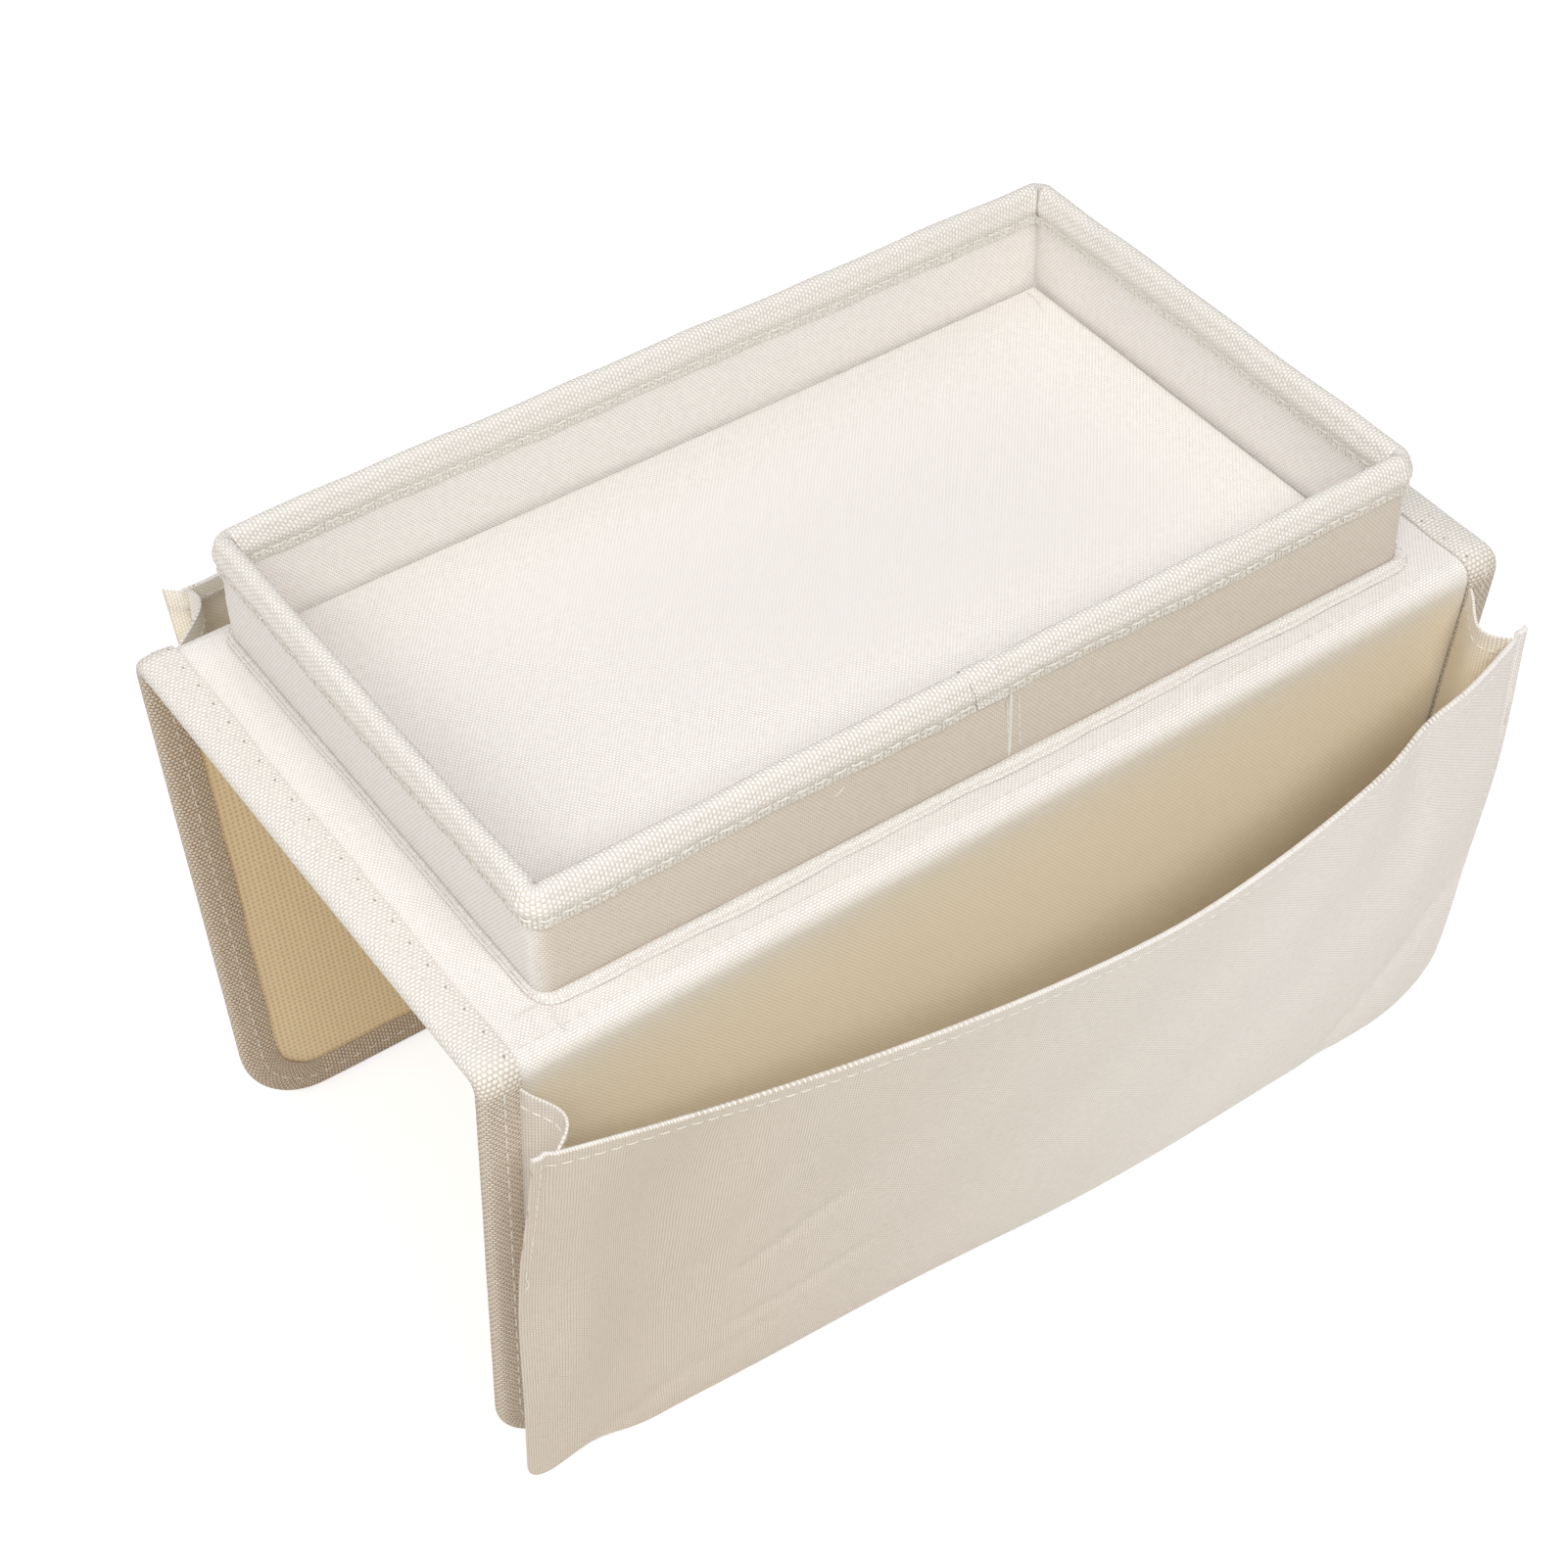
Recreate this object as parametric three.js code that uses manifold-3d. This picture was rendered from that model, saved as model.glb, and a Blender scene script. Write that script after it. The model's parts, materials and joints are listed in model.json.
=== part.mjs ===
// A sofa armrest organizer: a cloth saddle that hangs over a sofa arm, with a shallow open tray sewn on its
// top and a box pocket on the outside of each hanging flap.
// Millimetres, +Z up, +X along the arm, +Y to the rear flap.
// The origin is the middle of the seat face under the saddle's top.

import * as THREE from "three";
import { mergeVertices } from "three/addons/utils/BufferGeometryUtils.js";
import Module from "manifold-3d";

const wasm = await Module();
wasm.setup();

// Cloth, boards and tape
const coverCloth = 0.8;
const liningCloth = 0.6;
const stiffenerBoard = 1.6;
const tapeCloth = 0.8;
const tapeFace = 12; // width of the folded tape on each side of an edge
const gap = 0.3; // between pieces that lie on each other

// Tray
const trayLength = 298; // over the outer wall cloth
const trayWidth = 175;
const trayCorner = 5;
const wallHeight = 38;
const wallBoard = 1.8;
const rimTapeFace = 12.5;
const weltWidth = 3;
const weltHeight = 2;
const floorBoard = 1.4;
const floorClearance = 0.7; // between the floor panel and the inside of the rim tape

// Saddle round the tray
const leftMargin = 28; // from the tray wall to the end of the saddle
const rightMargin = 26;
const frontLedge = 9; // flat strip from the tray wall to the start of the fold
const rearLedge = 2;
const foldInnerRadius = 2.4;
const boardMargin = 1.4; // from the tape's inner edge to a stiffener board

// Flaps
const flapLength = 188; // from the fold's axis to the bottom edge
const frontLean = 6.5; // degrees inward, as the flap hangs
const rearLean = 4; // degrees
const flapCorner = 26;

// Pockets, measured down the flap from the fold's axis and out from the flap's cover
const frontPocketEnd = 4; // from the saddle's end to the panel's
const frontSeamInset = 5.5; // from the panel's end inward to the side gusset's seam on the flap
const frontMouthDown = 8;
const frontMouthDepth = 19; // at the ends of the mouth
const frontMouthBulge = 26; // added where the mouth stands out most
const frontBulgeX = 18; // where that is, from the pocket's middle
const rearPocketEnd = 26;
const rearSeamInset = -15;
const rearMouthDown = 4;
const rearMouthDepth = 30;
const rearMouthBulge = 16;
const rearBulgeX = 0;
const pocketBottomInset = 3; // from the flap's bottom edge up to the panel's
const pocketCorner = 22;
const mouthDip = 2; // how much lower the mouth hangs in its middle
const bottomDepth = 14;
const bottomBulge = 6;
const panelBelly = 3; // added halfway down the panel
const hemWidth = 6;
const hemStep = 0.5; // length of the slope from the doubled hem to the single cloth
const bottomSeamInset = 6; // from the panel's bottom edge up to the bottom gusset's seam on the flap
const seamFlange = 2; // from the panel's edge to the gusset's seam on the panel
const gussetCrease = 7; // how far the side gussets fold inward at the mouth

// Facets
const cornerFacets = 6;
const panelColumns = 20;
const panelRows = 7;
const gussetColumns = 4;
const mergeDistance = 1e-4;
const slotOvercut = 10; // degrees that the slot in a fold's tape runs past both ends

// Sizes that follow from the ones above
const saddleThickness = coverCloth + stiffenerBoard + liningCloth + 2 * gap;
const foldRadius = foldInnerRadius + saddleThickness;
const saddleLength = trayLength + leftMargin + rightMargin;
const saddleWidth = trayWidth + frontLedge + rearLedge + 2 * foldRadius;
const foldAxisY = saddleWidth / 2 - foldRadius;
const foldAxisZ = saddleThickness - foldRadius;
const tapeBuild = gap + tapeCloth; // how far the tape stands proud of the cloth that it binds
const clothHalf = saddleLength / 2 - tapeBuild;
const boardHalf = saddleLength / 2 - tapeFace - boardMargin;
const trayX = (leftMargin - rightMargin) / 2;
const trayY = (frontLedge - rearLedge) / 2;
const trayZ = saddleThickness + gap;
const wallThickness = 2 * coverCloth + wallBoard + 2 * gap;
const floorInset = wallThickness + tapeBuild + floorClearance;
const floorHeight = floorBoard + gap + coverCloth;
const pocketSeat = tapeBuild + gap;
const pocketBottom = flapLength - pocketBottomInset;
const frontPocket = {
  half: saddleLength / 2 - frontPocketEnd,
  seamInset: frontSeamInset,
  mouthDown: frontMouthDown,
  height: pocketBottom - frontMouthDown,
  mouthDepth: frontMouthDepth,
  mouthBulge: frontMouthBulge,
  bulgeX: frontBulgeX,
};
const rearPocket = {
  half: saddleLength / 2 - rearPocketEnd,
  seamInset: rearSeamInset,
  mouthDown: rearMouthDown,
  height: pocketBottom - rearMouthDown,
  mouthDepth: rearMouthDepth,
  mouthBulge: rearMouthBulge,
  bulgeX: rearBulgeX,
};

// Finishes of the photographed materials
const coverFinish = { color: 0xe6dfd3, roughness: 0.9, metalness: 0 };
const tapeFinish = { color: 0xded5c7, roughness: 0.9, metalness: 0 };
const liningFinish = { color: 0xc9ab79, roughness: 0.95, metalness: 0 };
const boardFinish = { color: 0xb8a184, roughness: 0.9, metalness: 0 };

const organizer = new THREE.Group();

function addPiece(group, name, geometry, finish) {
  const mesh = new THREE.Mesh(geometry, new THREE.MeshStandardMaterial(finish));
  mesh.name = name;
  group.add(mesh);
}

// Joins and cuts

function toSolid(geometry) {
  const bare = new THREE.BufferGeometry();
  bare.setAttribute("position", geometry.getAttribute("position"));
  bare.setIndex(geometry.index);
  const merged = mergeVertices(bare, mergeDistance);
  return new wasm.Manifold(new wasm.Mesh({
    numProp: 3,
    vertProperties: new Float32Array(merged.getAttribute("position").array),
    triVerts: new Uint32Array(merged.index.array),
  }));
}

function cut(geometry, ...tools) {
  let body = toSolid(geometry);
  for (const tool of tools) body = body.subtract(toSolid(tool));
  const mesh = body.getMesh();
  const result = new THREE.BufferGeometry();
  result.setAttribute("position", new THREE.BufferAttribute(mesh.vertProperties, 3));
  result.setIndex(new THREE.BufferAttribute(mesh.triVerts, 1));
  return result;
}

// Basic shapes

function block(low, high) {
  const size = high.map((value, axis) => value - low[axis]);
  const middle = high.map((value, axis) => (value + low[axis]) / 2);
  return new THREE.BoxGeometry(...size).translate(...middle);
}

function extrude(shape, from, to) {
  const options = { depth: to - from, bevelEnabled: false, curveSegments: cornerFacets };
  return new THREE.ExtrudeGeometry(shape, options).translate(0, 0, from);
}

// A closed sheet between two grids of points, given row by row
function sheet(front, back) {
  const rows = front.length;
  const columns = front[0].length;
  const positions = [...front.flat(), ...back.flat()].flatMap((point) => point.toArray());
  const at = (side, row, column) => (side * rows + row) * columns + column;
  const faces = [];
  const quad = (a, b, c, d) => faces.push(a, b, c, a, c, d);
  for (let r = 0; r + 1 < rows; r += 1) {
    for (let c = 0; c + 1 < columns; c += 1) {
      quad(at(0, r, c), at(0, r + 1, c), at(0, r + 1, c + 1), at(0, r, c + 1));
      quad(at(1, r, c), at(1, r, c + 1), at(1, r + 1, c + 1), at(1, r + 1, c));
    }
    const last = columns - 1;
    quad(at(0, r, 0), at(1, r, 0), at(1, r + 1, 0), at(0, r + 1, 0));
    quad(at(0, r, last), at(0, r + 1, last), at(1, r + 1, last), at(1, r, last));
  }
  for (let c = 0; c + 1 < columns; c += 1) {
    const last = rows - 1;
    quad(at(0, 0, c), at(0, 0, c + 1), at(1, 0, c + 1), at(1, 0, c));
    quad(at(0, last, c), at(1, last, c), at(1, last, c + 1), at(0, last, c + 1));
  }
  if (enclosedVolume(positions, faces) < 0) faces.reverse();
  const geometry = new THREE.BufferGeometry();
  geometry.setAttribute("position", new THREE.Float32BufferAttribute(positions, 3));
  geometry.setIndex(faces);
  return geometry;
}

function enclosedVolume(positions, faces) {
  const corner = (index) => new THREE.Vector3().fromArray(positions, 3 * index);
  let volume = 0;
  for (let i = 0; i < faces.length; i += 3) {
    const [a, b, c] = faces.slice(i, i + 3).map(corner);
    volume += a.dot(b.cross(c)) / 6;
  }
  return volume;
}

// Saddle top

// The lining steps up over the tape's lower leg at both ends, so that the underside is one flat seat
function topLining(halfY) {
  const foot = saddleLength / 2 - tapeFace - gap;
  const half = [
    [foot, 0],
    [foot, tapeBuild],
    [clothHalf, tapeBuild],
    [clothHalf, tapeBuild + liningCloth],
    [foot - liningCloth, tapeBuild + liningCloth],
    [foot - liningCloth, liningCloth],
  ];
  const mirrored = half.map(([x, z]) => [-x, z]).reverse();
  const outline = new THREE.Shape([...half, ...mirrored].map(([x, z]) => new THREE.Vector2(x, z)));
  return extrude(outline, -halfY, halfY).rotateX(Math.PI / 2);
}

function addSaddleTop() {
  const clothEnd = foldAxisY - gap;
  const boardEnd = foldAxisY - boardMargin;
  const liningTop = liningCloth;
  const boardTop = liningTop + gap + stiffenerBoard;
  const slab = (halfX, halfY, low, high) => block([-halfX, -halfY, low], [halfX, halfY, high]);
  addPiece(organizer, "top_lining", topLining(clothEnd), liningFinish);
  addPiece(organizer, "top_board", slab(boardHalf, boardEnd, liningTop + gap, boardTop), boardFinish);
  addPiece(organizer, "top_cover", slab(clothHalf, clothEnd, boardTop + gap, saddleThickness), coverFinish);
  for (const [name, side] of [["left", -1], ["right", 1]]) {
    const outer = saddleLength / 2;
    const inner = outer - tapeFace;
    const span = (near, far) => [Math.min(side * near, side * far), Math.max(side * near, side * far)];
    const [x0, x1] = span(inner, outer);
    const [s0, s1] = span(inner - gap, outer - tapeCloth);
    const tape = block([x0, -clothEnd, 0], [x1, clothEnd, saddleThickness + tapeBuild]);
    const slot = block([s0, -foldAxisY, tapeCloth], [s1, foldAxisY, saddleThickness + gap]);
    addPiece(organizer, `top_binding_${name}`, cut(tape, slot), tapeFinish);
  }
}

// Tray, drawn round its own middle

function trayOutline(inset) {
  const x = trayLength / 2 - inset;
  const y = trayWidth / 2 - inset;
  const r = Math.max(trayCorner - inset, gap);
  const outline = new THREE.Shape();
  outline.moveTo(-x + r, -y);
  outline.lineTo(x - r, -y);
  outline.absarc(x - r, -y + r, r, -Math.PI / 2, 0);
  outline.lineTo(x, y - r);
  outline.absarc(x - r, y - r, r, 0, Math.PI / 2);
  outline.lineTo(-x + r, y);
  outline.absarc(-x + r, y - r, r, Math.PI / 2, Math.PI);
  outline.lineTo(-x, -y + r);
  outline.absarc(-x + r, -y + r, r, Math.PI, 1.5 * Math.PI);
  return outline;
}

function trayRing(inset, width, from, to) {
  const outline = trayOutline(inset);
  outline.holes.push(trayOutline(inset + width));
  return extrude(outline, from, to);
}

function addTray() {
  const tray = new THREE.Group();
  tray.position.set(trayX, trayY, trayZ);
  organizer.add(tray);

  addPiece(tray, "tray_outer_cloth", trayRing(0, coverCloth, 0, wallHeight), coverFinish);
  const innerCloth = trayRing(wallThickness - coverCloth, coverCloth, 0, wallHeight);
  addPiece(tray, "tray_inner_cloth", innerCloth, coverFinish);

  const outerFace = coverCloth + gap;
  const innerFace = outerFace + wallBoard;
  const boardTop = wallHeight - gap;
  const halfX = trayLength / 2;
  const halfY = trayWidth / 2;
  const boardEnd = Math.max(trayCorner, innerFace + gap);
  const runX = halfX - boardEnd;
  const runY = halfY - boardEnd;
  const boards = {
    front: [[-runX, -halfY + outerFace], [runX, -halfY + innerFace]],
    rear: [[-runX, halfY - innerFace], [runX, halfY - outerFace]],
    left: [[-halfX + outerFace, -runY], [-halfX + innerFace, runY]],
    right: [[halfX - innerFace, -runY], [halfX - outerFace, runY]],
  };
  for (const [name, [low, high]] of Object.entries(boards)) {
    addPiece(tray, `tray_board_${name}`, block([...low, 0], [...high, boardTop]), boardFinish);
  }

  const tapeTop = wallHeight + tapeBuild;
  const rim = trayRing(-tapeBuild, wallThickness + 2 * tapeBuild, wallHeight - rimTapeFace, tapeTop);
  const rimSlot = trayRing(-gap, wallThickness + 2 * gap, 0, wallHeight + gap);
  addPiece(tray, "tray_rim_binding", cut(rim, rimSlot), tapeFinish);
  addPiece(tray, "tray_base_welt", trayRing(-gap - weltWidth, weltWidth, 0, weltHeight), coverFinish);

  const cover = extrude(trayOutline(floorInset), 0, floorHeight);
  const hollow = extrude(trayOutline(floorInset + coverCloth), -gap, floorBoard + gap);
  const board = extrude(trayOutline(floorInset + coverCloth + gap), 0, floorBoard);
  addPiece(tray, "floor_cover", cut(cover, hollow), coverFinish);
  addPiece(tray, "floor_board", board, boardFinish);
}

// Folds, drawn round their own axis with the outside toward -Y: 90 degrees is the top, 180 the flap

function foldSector(inner, outer, from, to, x0, x1) {
  const a0 = THREE.MathUtils.degToRad(from);
  const a1 = THREE.MathUtils.degToRad(to);
  const section = new THREE.Shape();
  section.absarc(0, 0, outer, a0, a1, false);
  section.absarc(0, 0, inner, a1, a0, true);
  const lengthwise = new THREE.Matrix4().set(0, 0, 1, 0, 1, 0, 0, 0, 0, 1, 0, 0, 0, 0, 0, 1);
  return extrude(section, x0, x1).applyMatrix4(lengthwise);
}

function addFold(group, side, ends, lean) {
  const top = 90;
  const flap = 180 + lean;
  const strip = (inner, outer) => foldSector(inner, outer, top, flap, -clothHalf, clothHalf);
  const liningOuter = foldInnerRadius + liningCloth;
  addPiece(group, `${side}_fold_cover`, strip(foldRadius - coverCloth, foldRadius), coverFinish);
  addPiece(group, `${side}_fold_lining`, strip(foldInnerRadius, liningOuter), liningFinish);
  for (const [name, sign] of ends) {
    const outer = saddleLength / 2;
    const inner = outer - tapeFace;
    const span = (near, far) => [sign * near, sign * far].sort((a, b) => a - b);
    const [tapeInner, tapeOuter] = [foldInnerRadius - tapeBuild, foldRadius + tapeBuild];
    const tape = foldSector(tapeInner, tapeOuter, top, flap, ...span(inner, outer));
    const slotSpan = span(inner - gap, outer - tapeCloth);
    const [from, to] = [top - slotOvercut, flap + slotOvercut];
    const slot = foldSector(foldInnerRadius - gap, foldRadius + gap, from, to, ...slotSpan);
    addPiece(group, `${side}_fold_binding_${name}`, cut(tape, slot), tapeFinish);
  }
}

// Flaps, drawn hanging straight down from the fold's axis with the outside toward -Y

function flapOutline(inset, top) {
  const x = saddleLength / 2 - inset;
  const bottom = -flapLength + inset;
  const r = Math.max(flapCorner - inset, gap);
  const outline = new THREE.Shape();
  outline.moveTo(-x, top);
  outline.lineTo(-x, bottom + r);
  outline.absarc(-x + r, bottom + r, r, Math.PI, 1.5 * Math.PI);
  outline.lineTo(x - r, bottom);
  outline.absarc(x - r, bottom + r, r, -Math.PI / 2, 0);
  outline.lineTo(x, top);
  return outline;
}

function addFlap(group, side) {
  const plate = (inset, top, from, to) => extrude(flapOutline(inset, top), from, to).rotateX(Math.PI / 2);
  const clothInset = tapeBuild;
  const boardInset = tapeFace + boardMargin;
  const liningOuter = foldInnerRadius + liningCloth;
  const boardOuter = liningOuter + gap + stiffenerBoard;
  const lining = plate(clothInset, -gap, foldInnerRadius, liningOuter);
  const board = plate(boardInset, -boardMargin, liningOuter + gap, boardOuter);
  const cover = plate(clothInset, -gap, boardOuter + gap, foldRadius);
  addPiece(group, `${side}_flap_lining`, lining, liningFinish);
  addPiece(group, `${side}_flap_board`, board, boardFinish);
  addPiece(group, `${side}_flap_cover`, cover, coverFinish);

  const tape = plate(0, -gap, foldInnerRadius - tapeBuild, foldRadius + tapeBuild);
  const slot = plate(tapeCloth, gap, foldInnerRadius - gap, foldRadius + gap);
  const window = plate(tapeFace, gap, 0, foldRadius + 2 * tapeBuild);
  addPiece(group, `${side}_flap_binding`, cut(tape, slot, window), tapeFinish);
}

// Pockets, on the outside of a hanging flap

function flapPoint(x, down, out) {
  return new THREE.Vector3(x, -(foldRadius + out), -down);
}

// Share of the bulge at a place along the pocket: 1 where the panel stands out most, 0 at both ends
function bulgeAt(pocket, x) {
  const offset = x - pocket.bulgeX;
  const span = pocket.half - Math.sign(offset) * pocket.bulgeX;
  return 1 - Math.min(Math.abs(offset) / span, 1) ** 2;
}

// How far the panel's outer face stands off the flap at a share of its height, 0 at the mouth
function panelOut(pocket, x, share) {
  const bulge = bulgeAt(pocket, x);
  const mouth = pocket.mouthDepth + pocket.mouthBulge * bulge;
  const bottom = bottomDepth + bottomBulge * bulge;
  return THREE.MathUtils.lerp(mouth, bottom, share) + panelBelly * bulge * Math.sin(Math.PI * share);
}

function shareAt(pocket, x, down) {
  const dip = mouthDip * bulgeAt(pocket, x);
  return Math.max((down - pocket.mouthDown - dip) / (pocket.height - dip), 0);
}

// Half the panel's length at a distance down the flap, with the bottom corners rounded
function panelReach(pocket, down) {
  const drop = Math.max(down - (pocketBottom - pocketCorner), 0);
  return pocket.half - pocketCorner + Math.sqrt(Math.max(pocketCorner ** 2 - drop ** 2, 0));
}

// Distances down the panel's edge where its rows lie: the hem, the plain stretch and the rounded corner
function panelDowns(pocket) {
  const hemEnd = pocket.mouthDown + hemWidth;
  const plainStart = hemEnd + hemStep;
  const cornerStart = pocketBottom - pocketCorner;
  const downs = [pocket.mouthDown, hemEnd];
  for (let i = 0; i <= panelRows; i += 1) {
    downs.push(THREE.MathUtils.lerp(plainStart, cornerStart, i / panelRows));
  }
  for (let i = 1; i <= cornerFacets; i += 1) {
    downs.push(cornerStart + pocketCorner * Math.sin(i / cornerFacets * Math.PI / 2));
  }
  return downs;
}

function clothAt(pocket, down) {
  return down < pocket.mouthDown + hemWidth + hemStep / 2 ? 2 * coverCloth : coverCloth;
}

function pocketPanel(pocket) {
  const front = [];
  const back = [];
  for (const edgeDown of panelDowns(pocket)) {
    const share = (edgeDown - pocket.mouthDown) / pocket.height;
    const reach = panelReach(pocket, edgeDown);
    const outer = [];
    const inner = [];
    for (let c = 0; c <= panelColumns; c += 1) {
      const x = reach * (2 * c / panelColumns - 1);
      const down = edgeDown + mouthDip * bulgeAt(pocket, x) * (1 - share);
      const out = panelOut(pocket, x, share);
      outer.push(flapPoint(x, down, out));
      inner.push(flapPoint(x, down, out - clothAt(pocket, edgeDown)));
    }
    front.push(outer);
    back.push(inner);
  }
  return sheet(front, back);
}

// One row of points across a gusset, from its seam on the flap to its seam on the panel.
// place gives the point of the flap that lies an inset away from the panel's edge.
function gussetRow(pocket, place, seamInset, crease, cloth, extra) {
  const [edgeX, edgeDown] = place(seamFlange);
  const reach = panelOut(pocket, edgeX, shareAt(pocket, edgeX, edgeDown)) - cloth - gap;
  const row = [];
  for (let c = 0; c <= gussetColumns; c += 1) {
    const across = c / gussetColumns;
    const fold = crease * 4 * across * (1 - across);
    const [x, down] = place(THREE.MathUtils.lerp(seamInset, seamFlange, across) + fold + extra);
    row.push(flapPoint(x, down, THREE.MathUtils.lerp(pocketSeat, reach, across)));
  }
  return row;
}

function sideGusset(pocket, sign) {
  const cornerStart = pocketBottom - pocketCorner;
  const front = [];
  const back = [];
  const addRow = (place, seamInset, crease, cloth) => {
    front.push(gussetRow(pocket, place, seamInset, crease, cloth, 0));
    back.push(gussetRow(pocket, place, seamInset, crease, cloth, coverCloth));
  };
  for (const down of panelDowns(pocket).filter((value) => value <= cornerStart)) {
    const place = (inset) => [sign * (pocket.half - inset), down];
    const crease = gussetCrease * (cornerStart - down) / (cornerStart - pocket.mouthDown);
    addRow(place, pocket.seamInset, crease, clothAt(pocket, down));
  }
  for (let i = 1; i <= cornerFacets; i += 1) {
    const share = i / cornerFacets;
    const turn = share * Math.PI / 2;
    const place = (inset) => [
      sign * (pocket.half - pocketCorner + (pocketCorner - inset) * Math.cos(turn)),
      cornerStart + (pocketCorner - inset) * Math.sin(turn),
    ];
    addRow(place, THREE.MathUtils.lerp(pocket.seamInset, bottomSeamInset, share), 0, coverCloth);
  }
  return sheet(front, back);
}

function bottomGusset(pocket) {
  const reach = pocket.half - pocketCorner - gap;
  const front = [];
  const back = [];
  for (let c = 0; c <= panelColumns; c += 1) {
    const x = reach * (2 * c / panelColumns - 1);
    const place = (inset) => [x, pocketBottom - inset];
    front.push(gussetRow(pocket, place, bottomSeamInset, 0, coverCloth, 0));
    back.push(gussetRow(pocket, place, bottomSeamInset, 0, coverCloth, coverCloth));
  }
  return sheet(front, back);
}

function addPocket(group, side, ends, pocket) {
  addPiece(group, `${side}_pocket_panel`, pocketPanel(pocket), coverFinish);
  addPiece(group, `${side}_pocket_gusset_bottom`, bottomGusset(pocket), coverFinish);
  for (const [name, sign] of ends) {
    addPiece(group, `${side}_pocket_gusset_${name}`, sideGusset(pocket, sign), coverFinish);
  }
}

addSaddleTop();
addTray();

// The rear side is the front side turned half round, so its left and right ends change places
const sides = {
  front: { turn: 0, lean: frontLean, ends: [["left", -1], ["right", 1]], pocket: frontPocket },
  rear: { turn: Math.PI, lean: rearLean, ends: [["right", -1], ["left", 1]], pocket: rearPocket },
};
for (const [side, { turn, lean, ends, pocket }] of Object.entries(sides)) {
  const half = new THREE.Group();
  half.rotation.z = turn;
  organizer.add(half);

  const fold = new THREE.Group();
  fold.position.set(0, -foldAxisY, foldAxisZ);
  half.add(fold);
  addFold(fold, side, ends, lean);

  const flap = new THREE.Group();
  flap.rotation.x = THREE.MathUtils.degToRad(lean);
  fold.add(flap);
  addFlap(flap, side);
  addPocket(flap, side, ends, pocket);
}

export default organizer;
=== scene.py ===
"""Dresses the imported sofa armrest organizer: woven cover, dotted lining, binding tape, stitches and stage."""

import json
import math
import random

import bmesh
import bpy
import numpy as np
from mathutils import Matrix, Vector


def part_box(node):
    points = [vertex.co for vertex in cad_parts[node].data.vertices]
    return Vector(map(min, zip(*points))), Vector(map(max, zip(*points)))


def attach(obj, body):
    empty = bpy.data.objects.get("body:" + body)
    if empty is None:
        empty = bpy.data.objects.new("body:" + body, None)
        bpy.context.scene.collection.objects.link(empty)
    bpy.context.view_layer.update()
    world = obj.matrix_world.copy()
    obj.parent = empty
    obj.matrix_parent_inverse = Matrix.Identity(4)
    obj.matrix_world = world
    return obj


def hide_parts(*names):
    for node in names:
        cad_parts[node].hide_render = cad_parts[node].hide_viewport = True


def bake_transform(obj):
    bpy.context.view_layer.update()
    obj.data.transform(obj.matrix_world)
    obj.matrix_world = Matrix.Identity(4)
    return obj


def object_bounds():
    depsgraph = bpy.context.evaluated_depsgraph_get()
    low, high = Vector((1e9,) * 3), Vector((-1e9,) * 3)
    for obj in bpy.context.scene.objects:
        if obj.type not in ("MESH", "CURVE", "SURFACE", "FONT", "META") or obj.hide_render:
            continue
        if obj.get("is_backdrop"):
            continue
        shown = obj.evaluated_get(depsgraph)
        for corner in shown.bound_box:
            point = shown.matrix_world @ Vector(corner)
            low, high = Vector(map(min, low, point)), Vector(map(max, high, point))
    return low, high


bl_info = {
    "name": "Sofa armrest organizer",
    "version": (1, 0, 0),
    "blender": (4, 5, 0),
    "location": "3D View > Sidebar > Organizer",
    "description": "Makes the cloth, tape, stitches and stage of a sofa armrest organizer",
    "category": "Object",
}

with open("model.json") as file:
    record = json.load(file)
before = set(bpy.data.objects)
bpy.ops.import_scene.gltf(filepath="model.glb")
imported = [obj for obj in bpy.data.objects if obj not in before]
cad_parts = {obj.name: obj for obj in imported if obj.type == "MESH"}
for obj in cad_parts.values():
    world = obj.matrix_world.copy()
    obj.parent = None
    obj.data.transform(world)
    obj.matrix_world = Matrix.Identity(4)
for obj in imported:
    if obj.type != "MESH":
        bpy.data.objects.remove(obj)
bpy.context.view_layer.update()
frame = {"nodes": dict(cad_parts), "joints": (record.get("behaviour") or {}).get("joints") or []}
joints = {joint["name"]: joint for joint in frame["joints"]}

MM = 0.001
SIDES = ("front", "rear")
CLOTH_INSET = 1.1 * MM


# Settings

def length(name, value, description):
    """A length setting; value is in millimetres."""
    return bpy.props.FloatProperty(
        name=name, description=description, default=value * MM, unit="LENGTH", precision=5
    )


def angle(name, value, description):
    """An angle setting; value is in degrees."""
    return bpy.props.FloatProperty(
        name=name, description=description, default=math.radians(value), subtype="ANGLE"
    )


def share(name, value, description):
    """A plain share or strength."""
    return bpy.props.FloatProperty(name=name, description=description, default=value, subtype="FACTOR")


def linear(red, green, blue):
    """A screen colour, 0 to 255, as the linear colour that shaders take."""
    return tuple(
        tone / 12.92 if tone <= 0.04045 else ((tone + 0.055) / 1.055) ** 2.4
        for tone in (red / 255, green / 255, blue / 255)
    )


def colour(name, red, green, blue, description):
    """A colour setting from its screen values."""
    return bpy.props.FloatVectorProperty(
        name=name, description=description, default=linear(red, green, blue), subtype="COLOR",
        size=3, min=0.0, max=1.0
    )


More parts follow.
